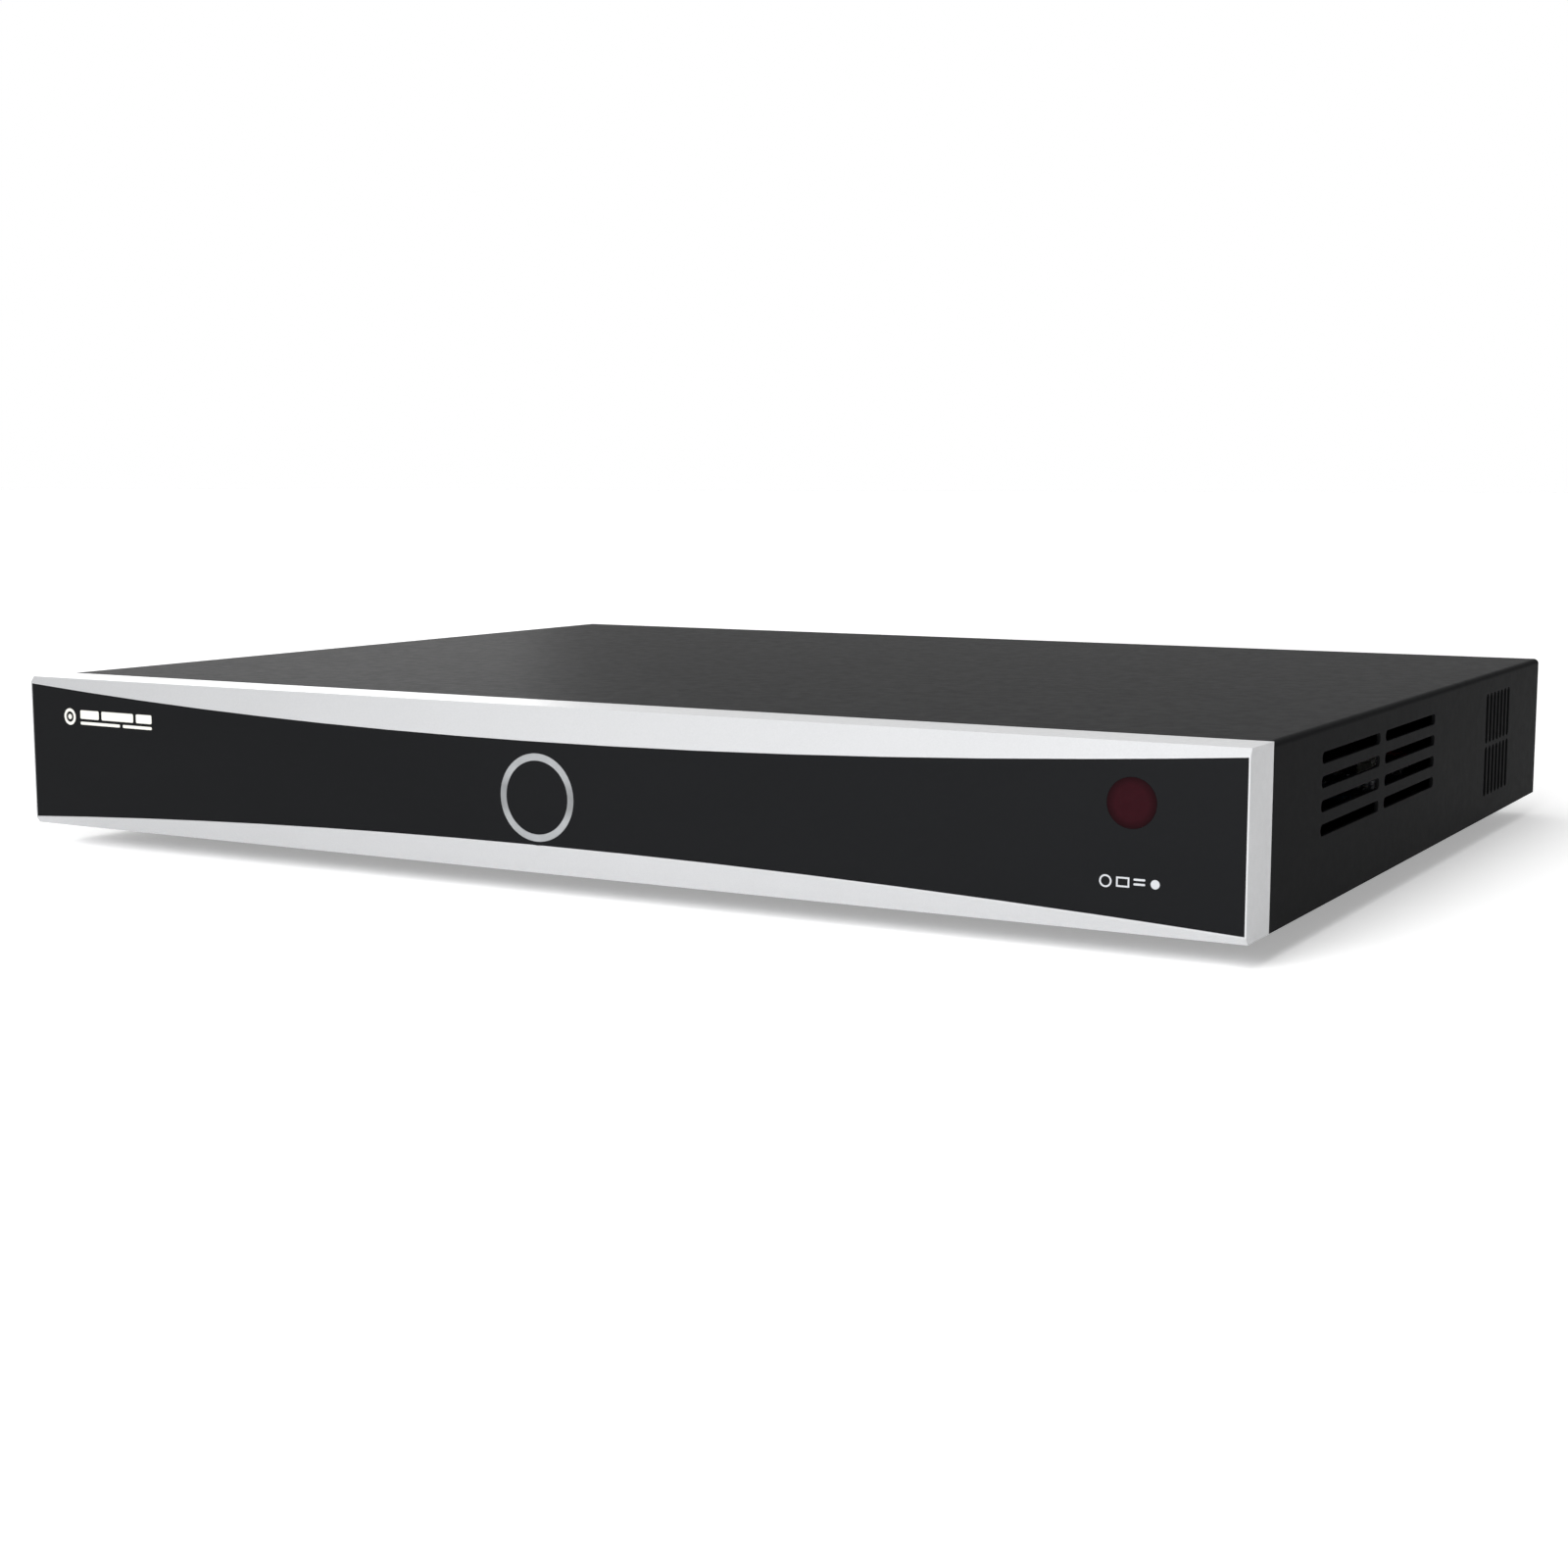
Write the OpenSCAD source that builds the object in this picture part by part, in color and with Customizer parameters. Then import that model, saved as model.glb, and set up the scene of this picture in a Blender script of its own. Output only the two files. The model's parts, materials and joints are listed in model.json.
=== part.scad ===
// Video recorder for CCTV cameras: a 1U case of folded steel sheet, a silver bezel
// with a curved gloss black panel, two hard drives, a main board and a side fan.
// Origin: centre of the footprint, on the surface that the feet stand on.
// X points right, Y points to the rear, Z points up. All sizes are in millimetres.

/* [Overall size] */
// Width of the case and the bezel
overall_w = 385; // [383:1:395]
// Depth from the panel's foremost point to the tips of the video sockets
overall_d = 315; // [313:1:322]
// Height from the table to the top of the cover
overall_h = 52; // [52:0.5:54]
// Height of the rubber feet under the case
foot_h = 7; // [6:0.5:7]

/* [Case] */
// Thickness of the steel sheet
sheet_t = 1; // [0.8:0.1:1.1]
// Depth of the bezel at its two ends
bezel_d = 16.5; // [16:0.5:18]
// How far the video sockets stand out behind the cover
socket_out = 10; // [9:0.5:10]
// Height of the folded lip at the rear of the cover
lip_h = 8.5; // [7:0.5:8.5]
// Height of the chassis's side flanges
flange_h = 12; // [8:1:14]

/* [Front] */
// How far the middle of the front stands ahead of its ends
bulge = 5; // [3:0.5:6]
// Width of the silver margin above and below the panel at mid-width
margin_mid = 8.3; // [8:0.1:9]
// Distance from the ends of the front to where the flat top starts
chamfer_run = 1.2; // [1.2:0.1:2]
// Thickness of the black panel
panel_t = 2.4; // [2:0.1:2.6]
// Wall thickness of the bezel moulding
bezel_wall = 2; // [1.6:0.1:2.2]
// Outer diameter of the light ring
ring_d = 23.6; // [21:0.1:24]
// Width of the light ring's line
ring_line = 2; // [1.8:0.1:2.4]
// Diameter of the infra-red window
ir_d = 12; // [10:0.5:13]
// Distance of the infra-red window to the right of the middle
ir_x = 165; // [155:1:168]

/* [Vents] */
// Length of each side vent slot
vent_len = 52; // [45:1:54]
// Height of each side vent slot
vent_h = 3; // [2.4:0.2:3.4]
// Height from one row of vent slots to the next
vent_pitch = 6; // [5:0.5:6]
// Number of rows of vent slots
vent_rows = 4; // [3:1:4]
// Size of the square fan grille
grille_size = 33; // [30:1:34]

/* [Drives] */
// Width of a hard drive
drive_w = 101.6; // [100:0.2:102]
// Length of a hard drive
drive_l = 147; // [146:0.5:147]
// Height of a hard drive
drive_h = 26.1; // [20:0.1:27]
// Distance of each drive's middle from the middle of the case
drive_x = 75; // [72:1:80]

/* [Rear sockets] */
// Number of columns of video sockets
bnc_columns = 4; // [2:1:4]
// Spacing of the video sockets' columns
bnc_pitch = 15.5; // [15:0.5:16]
// Number of screw terminals
terminal_count = 8; // [4:1:8]
// Spacing of the screw terminals
terminal_pitch = 5; // [5:0.1:5.1]

/* [Switch] */
// Tilt of the rocker on either side of level
rocker_tilt = 8; // [6:1:9]

/* [Fan] */
// Width and height of the fan
fan_size = 40; // [40:1:41]
// Depth of the fan
fan_t = 10; // [10:0.5:11]
// Number of fan blades
blade_count = 7; // [5:1:9]

/* [Hidden] */

// Case planes
half_w = overall_w / 2;
body_h = overall_h - foot_h;
z_low = foot_h;
z_high = overall_h;
z_floor = z_low + sheet_t;
y_front = -overall_d / 2;
y_end = y_front + bulge;
y_bezel = y_end + bezel_d;
seam = 0.6;
y_case = y_bezel + seam;
y_lip = overall_d / 2 - socket_out;
cover_gap = 0.3;
y_rear = y_lip - sheet_t - cover_gap;
y_wall_in = y_rear - sheet_t;
side_gap = 0.6;
flange_x = half_w - sheet_t - side_gap;
wall_top = z_high - sheet_t - 0.4;
fold_r = 1.6;

// Front: one large vertical cylinder cut by two planes that lean back
front_r = (half_w * half_w + bulge * bulge) / (2 * bulge);
chamfer_y = y_end + chamfer_run;
chamfer_slope = margin_mid / (bulge + chamfer_run);
margin_end = chamfer_slope * chamfer_run;
arch_rise = margin_mid - margin_end;
arch_r = (half_w * half_w + arch_rise * arch_rise) / (2 * arch_rise);
rim = 0.4;
panel_gap = 0.1;
ring_z = z_low + 21.4;
ring_groove = 1.2;
ring_sink = 0.03;
light_leg_r = 0.9;
light_legs = 8;
ir_z = z_low + 31;

// Front board, behind the panel
fb_t = 1.6;
fb_y = y_front + 11.5;
fb_x0 = -34;
fb_x1 = 180;
fb_z0 = z_low + 8.6;
fb_h = 28.4;
fb_screw_x = [fb_x0 + 5, fb_x1 - 5];
fb_screw_z = [fb_z0 + 4, fb_z0 + fb_h - 4];

// Screws
m3_d = 3;
m3_len = 6;
m3_head_d = 5.6;
m3_head_h = 2.2;
thread_r = m3_d / 2 + 0.05;
bezel_screw_x = [-170, -62, 62, 170];
bezel_screw_z = z_low + 5.5;
bezel_post_r = 3;
cover_screw_x = [-150, 0, 150];
cover_screw_z = z_high - 4.5;
ground_x = -184;
ground_z = z_low + 10;

// Vents and grille
vent_y = -43;
vent_gap = 5;
vent_z = z_low + 37;
grille_y = 90;
grille_z = z_low + 23;
grille_bars = 7;

// Feet
foot_d = 20;
foot_x = 160;
foot_y = [-100, 118];

// Main board
mb_x = 160;
mb_y0 = 52;
mb_y1 = y_wall_in - 0.7;
mb_z = z_floor + 5;
mb_t = 1.6;
mb_top = mb_z + mb_t;
mb_screw_x = [-154, 0, 154];
mb_screw_y = [mb_y0 + 30, mb_y1 - 22];
pillar_r = 3.5;
fan_header_x = mb_x - 8;
switch_header_x = -mb_x + 7;
header_h = 6;
cpu_x = -52;
cpu_y = mb_y0 + 38;
cpu_h = 1.6;
sink_w = 38;
sink_h = 17;
sink_base = 3;
fin_count = 9;

cell_x = 34;
cell_y = mb_y0 + 20;

// Drives
drive_y0 = -112;
drive_y1 = drive_y0 + drive_l;
drive_z = z_floor + 4;
drive_hole_x = 47.63;
drive_hole_y = [41.28, 85.73];
drive_boss_r = 5;
plug_l = 9;
data_dx = 14;
power_dx = -14;
cable_y_up = drive_y1 + plug_l + 3;
socket_y = cable_y_up + 10;
cable_z = drive_z + 4;
cable_turn_z = 38;
socket_h = 8;
cable_plug_h = 8;

// Rear sockets: x positions and heights
rear_z0 = mb_top;
bnc_x0 = 84;
bnc_z = [rear_z0 + 8, rear_z0 + 22];
bnc_r = 4.8;
bnc_bore_r = 4.05;
bnc_nut_d = 13;
rca_x0 = 42;
rca_columns = 2;
rca_pitch = 14;
rca_z = [rear_z0 + 7, rear_z0 + 21];
rca_r = 4.15;
rca_out = 9;
rca_collar = 1.2;
rca_stem_r = 3.5;
rca_cup_y = y_rear + rca_collar + 0.8;
vga_x = 10;
vga_z = rear_z0 + 8;
vga_screw_dx = 12.5;
hdmi_x = -22;
hdmi_z = rear_z0 + 3.4;
usb_x = -45;
usb_w = 14.4;
usb_h = 15.6;
usb_d = 17;
usb_rows = [rear_z0 + 3.9, rear_z0 + 11.7];
lan_x = -68;
lan_w = 16;
lan_h = 13.4;
lan_d = 20;
terminal_x = -106;
terminal_w = terminal_count * terminal_pitch;
terminal_h = 9;
terminal_wall = 1.2;
terminal_gap = 0.3;
terminal_mid = rear_z0 + terminal_wall + terminal_gap + terminal_h / 2;
plug_in = 8;
plug_out = 7;
dc_x = -143;
dc_w = 11;
dc_h = 11;
dc_z = rear_z0 + dc_h / 2;
switch_x = -168;
switch_z = z_low + 27;
switch_w = 18.8;
switch_h = 12.8;
rocker_y = y_rear - 1;
rocker_half = 7.4;
rocker_h = 10;
pivot_r = 1;

// Fan
fan_y = grille_y;
fan_z = grille_z;
fan_x1 = flange_x - sheet_t;
fan_x0 = fan_x1 - fan_t;
fan_bore_r = fan_size / 2 - 1;
fan_blade_r = fan_bore_r - 0.6;
fan_hub_r = 10;
fan_shaft_r = 1.5;
fan_hole = 16;

// Extrudes an outline drawn in (x, z) from y0 to y1
module between_y(y0, y1) {
    translate([0, y1, 0])
        rotate([90, 0, 0])
            linear_extrude(y1 - y0)
                children();
}

// Extrudes an outline drawn in (y, z) from x0 to x1
module between_x(x0, x1) {
    translate([x0, 0, 0])
        rotate([90, 0, 90])
            linear_extrude(x1 - x0)
                children();
}

// Round bar along Y
module rod_y(x, z, y0, y1, r, sides = 48) {
    translate([x, y1, z])
        rotate([90, 0, 0])
            cylinder(r = r, h = y1 - y0, $fn = sides);
}

// Box given by its middle in x and z, and by its two ends in y
module block_y(x, z, w, h, y0, y1) {
    translate([x - w / 2, y0, z - h / 2])
        cube([w, y1 - y0, h]);
}

// Box standing on a level z, given by its middle in x and y
module block_z(x, y, w, d, z, h) {
    translate([x - w / 2, y - d / 2, z])
        cube([w, d, h]);
}

// Slot outline with round ends, along its own x
module slot2d(length, width) {
    square([length - width, width], center = true);
    for (side = [-1, 1])
        translate([side * (length - width) / 2, 0])
            circle(d = width, $fn = 24);
}

// Rectangle outline with round corners
module rounded2d(w, d, r) {
    square([w - 2 * r, d], center = true);
    square([w, d - 2 * r], center = true);
    for (x = [-1, 1], y = [-1, 1])
        translate([x * (w / 2 - r), y * (d / 2 - r)])
            circle(r = r, $fn = 32);
}

// Outline with square lower corners and round upper corners, standing on z = 0
module arch2d(w, h, r) {
    translate([-w / 2, 0])
        square([w, h - r]);
    translate([-w / 2 + r, 0])
        square([w - 2 * r, h]);
    for (side = [-1, 1])
        translate([side * (w / 2 - r), h - r])
            circle(r = r, $fn = 32);
}

// Pan-head screw: head above z = 0, shank below, cross recess in the head
module pan_screw(length) {
    difference() {
        union() {
            translate([0, 0, -length])
                cylinder(d = m3_d, h = length + m3_head_h / 2, $fn = 32);
            cylinder(d = m3_head_d, h = m3_head_h * 0.6, $fn = 32);
            translate([0, 0, m3_head_h * 0.5])
                cylinder(d1 = m3_head_d, d2 = m3_head_d * 0.62, h = m3_head_h * 0.5, $fn = 32);
        }
        for (turn = [0, 90])
            rotate(turn)
                translate([-1.5, -0.4, m3_head_h - 1.2])
                    cube([3, 0.8, 2]);
    }
}

// Flat strap in the (y, z) plane: along, up, over in a half circle and down
module strap2d(y_from, z_from, y_up, y_down, z_turn, z_end, t) {
    r = (y_down - y_up) / 2;
    translate([y_from, z_from - t / 2])
        square([y_up - y_from + t / 2, t]);
    translate([y_up - t / 2, z_from - t / 2])
        square([t, z_turn - z_from + t / 2]);
    translate([y_down - t / 2, z_end])
        square([t, z_turn - z_end]);
    translate([y_up + r, z_turn])
        difference() {
            circle(r = r + t / 2, $fn = 48);
            circle(r = r - t / 2, $fn = 48);
            translate([-2 * r, -4 * r])
                square([4 * r, 4 * r]);
        }
}

// ---------- Case ----------

// Floor, walls and flanges of the chassis, folded from one sheet
module chassis_sheet() {
    translate([-flange_x, y_case, z_low])
        cube([2 * flange_x, y_rear - y_case, sheet_t]);
    for (y = [y_case, y_wall_in])
        translate([-flange_x, y, z_low])
            cube([2 * flange_x, sheet_t, wall_top - z_low]);
    translate([-flange_x, y_case, wall_top - sheet_t])
        cube([2 * flange_x, 9, sheet_t]);
    for (x = [-flange_x, flange_x - sheet_t])
        translate([x, y_case, z_low])
            cube([sheet_t, y_rear - y_case, flange_h]);
    translate([flange_x - sheet_t, fan_y - fan_size / 2 - 3, z_low])
        cube([sheet_t, fan_size + 6, wall_top - z_low]);
}

// Pillars for the main board and raised bosses for the drives
module chassis_bosses() {
    for (x = mb_screw_x, y = mb_screw_y)
        translate([x, y, z_low])
            cylinder(r = pillar_r, h = mb_z - z_low, $fn = 32);
    drive_hole_places()
        translate([0, 0, z_low])
            cylinder(r = drive_boss_r, h = drive_z - z_low, $fn = 32);
}

// Places its children at the four bottom holes of both drives
module drive_hole_places() {
    for (side = [-1, 1], x = [-drive_hole_x, drive_hole_x], y = drive_hole_y)
        translate([side * drive_x + x, drive_y0 + y, 0])
            children();
}

// Places its children at the four feet
module foot_places() {
    for (x = [-foot_x, foot_x], y = foot_y)
        translate([x, y, 0])
            children();
}

// Openings in the rear wall, one for each socket
module rear_cuts() {
    cut0 = y_wall_in - 1;
    cut1 = y_rear + 1;
    for (i = [0 : bnc_columns - 1], z = bnc_z)
        rod_y(bnc_x0 + i * bnc_pitch, z, cut0, cut1, bnc_r + 0.3);
    for (i = [0 : rca_columns - 1], z = rca_z)
        rod_y(rca_x0 + i * rca_pitch, z, cut0, cut1, rca_r + 1.25);
    block_y(vga_x, vga_z, 18.6, 10, cut0, cut1);
    for (side = [-1, 1])
        rod_y(vga_x + side * vga_screw_dx, vga_z, cut0, cut1, 1.8);
    block_y(hdmi_x, hdmi_z, 15.6, 6.4, cut0, cut1);
    block_y(usb_x, rear_z0 + usb_h / 2, usb_w + 0.6, usb_h + 0.6, cut0, cut1);
    block_y(lan_x, rear_z0 + lan_h / 2, lan_w + 0.6, lan_h + 0.6, cut0, cut1);
    block_y(terminal_x, terminal_mid, terminal_w + 4, terminal_h + 3.8, cut0, cut1);
    block_y(dc_x, dc_z, dc_w + 0.6, dc_h + 0.6, cut0, cut1);
    block_y(switch_x, switch_z, switch_w + 0.4, switch_h + 0.4, cut0, cut1);
    rod_y(ground_x, ground_z, cut0, cut1, thread_r);
    for (x = cover_screw_x)
        rod_y(x, cover_screw_z, cut0, cut1, thread_r);
}

module base_chassis() {
    color([0.3, 0.31, 0.32])
        difference() {
            union() {
                chassis_sheet();
                chassis_bosses();
            }
            rear_cuts();
            for (x = mb_screw_x, y = mb_screw_y)
                translate([x, y, mb_z - m3_len])
                    cylinder(r = thread_r, h = m3_len + 1, $fn = 32);
            drive_hole_places()
                union() {
                    translate([0, 0, z_low - 1])
                        cylinder(r = 1.75, h = drive_z, $fn = 32);
                    translate([0, 0, z_low - 1])
                        cylinder(r = 3.4, h = 3.6, $fn = 32);
                }
            foot_places()
                translate([0, 0, z_low - 1])
                    cylinder(r = thread_r, h = 4, $fn = 32);
            for (x = bezel_screw_x)
                rod_y(x, bezel_screw_z, y_case - 1, y_case + 3, thread_r);
            block_y(0, z_low + 5, 22, 6, y_case - 1, y_case + 2);
            for (side = [-1, 1], i = [0 : 6])
                translate([side * drive_x, drive_y0 + 8 + i * 12 + (i > 2 ? 24 : 0), z_low - 1])
                    linear_extrude(3)
                        slot2d(56, 4);
            fan_openings();
        }
}

// Air opening and screw holes in the tab that carries the fan
module fan_openings() {
    translate([fan_x1 - 1, fan_y, fan_z])
        rotate([0, 90, 0])
            cylinder(r = fan_bore_r - 0.5, h = sheet_t + 2, $fn = 96);
    for (y = [-fan_hole, fan_hole], z = [-fan_hole, fan_hole])
        translate([fan_x1 - 1, fan_y + y, fan_z + z])
            rotate([0, 90, 0])
                cylinder(r = thread_r, h = sheet_t + 2, $fn = 32);
}

// Vent slots of one side: two columns of horizontal slots
module vent_slots(x0, x1) {
    for (column = [-1, 1], row = [0 : vent_rows - 1])
        between_x(x0, x1)
            translate([vent_y + column * (vent_len + vent_gap) / 2, vent_z - row * vent_pitch])
                slot2d(vent_len, vent_h);
}

// Upright slots of the fan grille, in two rows with a rib between them
module grille_slots(x0, x1) {
    pitch = grille_size / grille_bars;
    slot_l = grille_size / 2 - 1;
    for (i = [0 : grille_bars - 1], row = [-1, 1])
        between_x(x0, x1)
            translate([grille_y + (i - (grille_bars - 1) / 2) * pitch, grille_z + row * grille_size / 4])
                rotate(90)
                    slot2d(slot_l, pitch - 1.5);
}

module top_cover() {
    color([0.2, 0.2, 0.21])
        difference() {
            union() {
                between_y(y_case, y_lip)
                    translate([0, z_low])
                        difference() {
                            arch2d(overall_w, body_h, fold_r);
                            translate([0, -1])
                                arch2d(overall_w - 2 * sheet_t, body_h - sheet_t + 1, fold_r - sheet_t);
                        }
                block_y(0, z_high - lip_h / 2 - 0.5, overall_w - sheet_t, lip_h - 1, y_lip - sheet_t, y_lip);
                block_y(0, z_high - lip_h + 1, overall_w - 16, 2, y_lip - sheet_t, y_lip);
            }
            for (side = [-1, 1])
                vent_slots(side * half_w - 2 * sheet_t, side * half_w + 2 * sheet_t);
            grille_slots(half_w - 2 * sheet_t, half_w + sheet_t);
            for (x = cover_screw_x)
                rod_y(x, cover_screw_z, y_lip - 2, y_lip + 1, thread_r);
        }
}

module cover_screws() {
    color([0.15, 0.15, 0.16])
        for (x = cover_screw_x)
            translate([x, y_lip, cover_screw_z])
                rotate([-90, 0, 0])
                    pan_screw(m3_len);
}

// ---------- Front ----------

// Upright cylinder whose front gives the front its curve, set back by an offset
module front_curve(offset_y) {
    translate([0, y_front + offset_y + front_r, 0])
        cylinder(r = front_r, h = overall_h + 10, $fn = 1440);
}

// Side outline of the bezel: flat top and bottom, planes leaning back at the front
module bezel_side2d(inset) {
    nose = y_front - 1;
    drop = chamfer_slope * (chamfer_y - nose);
    start = chamfer_y + inset * 0.6;
    polygon([
        [y_bezel, z_low + inset],
        [start, z_low + inset],
        [start - (chamfer_y - nose), z_low + inset + drop],
        [start - (chamfer_y - nose), z_high - inset - drop],
        [start, z_high - inset],
        [y_bezel, z_high - inset]
    ]);
}

// Solid form of the bezel, with its front set back and its other faces inset
module bezel_form(offset_y, inset) {
    intersection() {
        front_curve(offset_y);
        between_x(-half_w + inset, half_w - inset)
            bezel_side2d(inset);
    }
}

// Outline of the panel in (x, z): a long rectangle with a hollow top and bottom edge
module panel2d(inset) {
    difference() {
        translate([-half_w + inset, z_low])
            square([overall_w - 2 * inset, body_h]);
        translate([0, z_high - margin_mid - inset + arch_r])
            circle(r = arch_r, $fn = 1440);
        translate([0, z_low + margin_mid + inset - arch_r])
            circle(r = arch_r, $fn = 1440);
    }
}

// The curved slab that the panel is made from
module panel_form(thickness, inset) {
    intersection() {
        difference() {
            front_curve(0);
            front_curve(thickness);
        }
        between_y(y_front - 1, y_end + thickness + 1)
            panel2d(inset);
    }
}

module front_bezel() {
    color([0.86, 0.87, 0.88])
        difference() {
            union() {
                difference() {
                    bezel_form(0, 0);
                    bezel_cavity();
                }
                bezel_posts(y_front + 7);
                intersection() {
                    bezel_form(panel_t + 0.5, 0.5);
                    bezel_posts(y_front);
                }
            }
            panel_form(panel_t, rim);
            for (x = bezel_screw_x)
                rod_y(x, bezel_screw_z, y_case - m3_len, y_case + 1, thread_r);
            for (x = fb_screw_x, z = fb_screw_z)
                rod_y(x, z, fb_y - 3.6, fb_y + 1, thread_r);
            rod_y(0, ring_z, y_front, y_front + 12, ring_d / 2 + 1);
            rod_y(ir_x, ir_z, y_front, y_front + 12, ir_d / 2 + 1);
        }
}

// Posts for the screws of the chassis and of the front board, from y0 backwards
module bezel_posts(y0) {
    for (x = bezel_screw_x)
        rod_y(x, bezel_screw_z, y0, y_case, bezel_post_r);
    for (x = fb_screw_x, z = fb_screw_z)
        rod_y(x, z, y0, fb_y, 2.8);
}

// Inside of the bezel, open to the rear
module bezel_cavity() {
    intersection() {
        front_curve(panel_t + bezel_wall);
        between_x(-half_w + bezel_wall, half_w - bezel_wall)
            union() {
                bezel_side2d(bezel_wall);
                translate([y_bezel - 1, z_low + bezel_wall])
                    square([3, body_h - 2 * bezel_wall]);
            }
    }
}

module front_panel() {
    color([0.05, 0.05, 0.055])
        difference() {
            panel_form(panel_t, rim + panel_gap);
            difference() {
                rod_y(0, ring_z, y_front - 1, y_front + ring_groove, ring_d / 2, 96);
                rod_y(0, ring_z, y_front - 2, y_front + ring_groove + 1, ring_d / 2 - ring_line, 96);
            }
            ring_leg_places()
                rod_y(0, 0, y_front, y_front + 4, light_leg_r + 0.05, 24);
            rod_y(ir_x, ir_z, y_front - 1, y_front + 9, ir_d / 2 + 0.05);
        }
}

// Places its children round the light ring, one for each light leg
module ring_leg_places() {
    leg_r = ring_d / 2 - ring_line / 2;
    for (i = [0 : light_legs - 1])
        translate([leg_r * cos(i * 360 / light_legs), 0, ring_z + leg_r * sin(i * 360 / light_legs)])
            children();
}

module status_ring() {
    color([0.75, 0.76, 0.78])
        union() {
            difference() {
                rod_y(0, ring_z, y_front + ring_sink, y_front + ring_groove, ring_d / 2 - 0.05, 96);
                rod_y(0, ring_z, y_front, y_front + ring_groove + 1, ring_d / 2 - ring_line + 0.05, 96);
            }
            ring_leg_places()
                rod_y(0, 0, y_front + ring_groove / 2, fb_y - 1.6, light_leg_r, 24);
        }
}

module ir_window() {
    color([0.16, 0.05, 0.06])
        intersection() {
            rod_y(ir_x, ir_z, y_front - 1, y_front + 9, ir_d / 2);
            difference() {
                front_curve(0);
                front_curve(panel_t);
            }
        }
}

module front_board() {
    color([0.08, 0.3, 0.16])
        union() {
            difference() {
                translate([fb_x0, fb_y, fb_z0])
                    cube([fb_x1 - fb_x0, fb_t, fb_h]);
                for (x = fb_screw_x, z = fb_screw_z)
                    rod_y(x, z, fb_y - 1, fb_y + 3, thread_r);
            }
            block_y(0, fb_z0 + 8, 18, 5, fb_y + fb_t, fb_y + fb_t + 4);
        }
}

module ir_receiver() {
    color([0.08, 0.08, 0.09])
        union() {
            block_y(ir_x, ir_z, 6, 7, fb_y - 3, fb_y);
            rod_y(ir_x, ir_z, fb_y - 4.4, fb_y, 2.2);
        }
}

module ring_leds() {
    color([0.95, 0.95, 0.85])
        ring_leg_places()
            block_y(0, 0, 2, 2, fb_y - 1, fb_y);
}

module front_ribbon() {
    ribbon_t = 0.8;
    color([0.75, 0.75, 0.78])
        between_x(-8, 8)
            union() {
                y_drop = fb_y + fb_t + 7;
                translate([fb_y + fb_t + 4, fb_z0 + 8 - ribbon_t / 2])
                    square([3, ribbon_t]);
                translate([y_drop - ribbon_t, z_low + 4])
                    square([ribbon_t, fb_z0 + 8 - z_low - 4 + ribbon_t / 2]);
                strap2d(y_drop - ribbon_t, z_low + 4, cable_y_up - 1, socket_y - 1, cable_turn_z - 6,
                    mb_top + socket_h, ribbon_t);
            }
}

// ---------- Fasteners ----------

module m3_screws() {
    color([0.78, 0.79, 0.8]) {
        for (x = mb_screw_x, y = mb_screw_y)
            translate([x, y, mb_top])
                pan_screw(m3_len - 1);
        for (x = fb_screw_x, z = fb_screw_z)
            translate([x, fb_y + fb_t, z])
                rotate([-90, 0, 0])
                    pan_screw(m3_len - 1);
        for (x = bezel_screw_x)
            translate([x, y_case + sheet_t, bezel_screw_z])
                rotate([-90, 0, 0])
                    pan_screw(m3_len - 1);
        foot_places()
            translate([0, 0, z_low - 3])
                rotate([180, 0, 0])
                    pan_screw(m3_len - 1);
        translate([ground_x, y_rear, ground_z])
            rotate([-90, 0, 0])
                pan_screw(m3_len - 1);
    }
}

module drive_screws() {
    color([0.7, 0.71, 0.72])
        drive_hole_places()
            translate([0, 0, z_low + 2.6])
                rotate([180, 0, 0])
                    pan_screw(m3_len - 1);
}

// ---------- Main board ----------

module main_board() {
    color([0.06, 0.25, 0.32])
        difference() {
            translate([-mb_x, mb_y0, mb_z])
                cube([2 * mb_x, mb_y1 - mb_y0, mb_t]);
            for (x = mb_screw_x, y = mb_screw_y)
                translate([x, y, mb_z - 1])
                    cylinder(r = thread_r, h = mb_t + 2, $fn = 32);
        }
}

module processor() {
    color([0.1, 0.1, 0.11])
        block_z(cpu_x, cpu_y, 27, 27, mb_top, cpu_h);
}

module heat_sink() {
    pitch = (sink_w - 1.4) / (fin_count - 1);
    color([0.75, 0.76, 0.78])
        union() {
            block_z(cpu_x, cpu_y, sink_w, sink_w, mb_top + cpu_h, sink_base);
            for (i = [0 : fin_count - 1])
                block_z(cpu_x + (i - (fin_count - 1) / 2) * pitch, cpu_y, 1.4, sink_w,
                    mb_top + cpu_h, sink_h);
        }
}

module memory_chips() {
    color([0.11, 0.11, 0.12])
        for (i = [0 : 3])
            block_z(cpu_x + 29 + (i % 2) * 13, cpu_y - 10 + floor(i / 2) * 18, 9, 13, mb_top, 1.1);
}

module video_decoders() {
    color([0.1, 0.1, 0.12])
        for (i = [0 : 1])
            block_z(bnc_x0 + 8 + i * 32, cpu_y + 4, 16, 16, mb_top, 1.3);
}

module capacitors() {
    color([0.14, 0.14, 0.3]) {
        for (i = [0 : 3])
            translate([dc_x + 14 + i * 11, mb_y0 + 52, mb_top])
                cylinder(d = 8, h = 11.5, $fn = 48);
        for (i = [0 : 4])
            translate([24 + i * 9, mb_y0 + 40, mb_top])
                cylinder(d = 6.3, h = 7.7, $fn = 48);
    }
}

module inductors() {
    color([0.3, 0.3, 0.32])
        for (i = [0 : 2])
            translate([dc_x + 16 + i * 14, mb_y0 + 34, mb_top])
                linear_extrude(4.8)
                    rounded2d(10, 10, 1.8);
}

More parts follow.
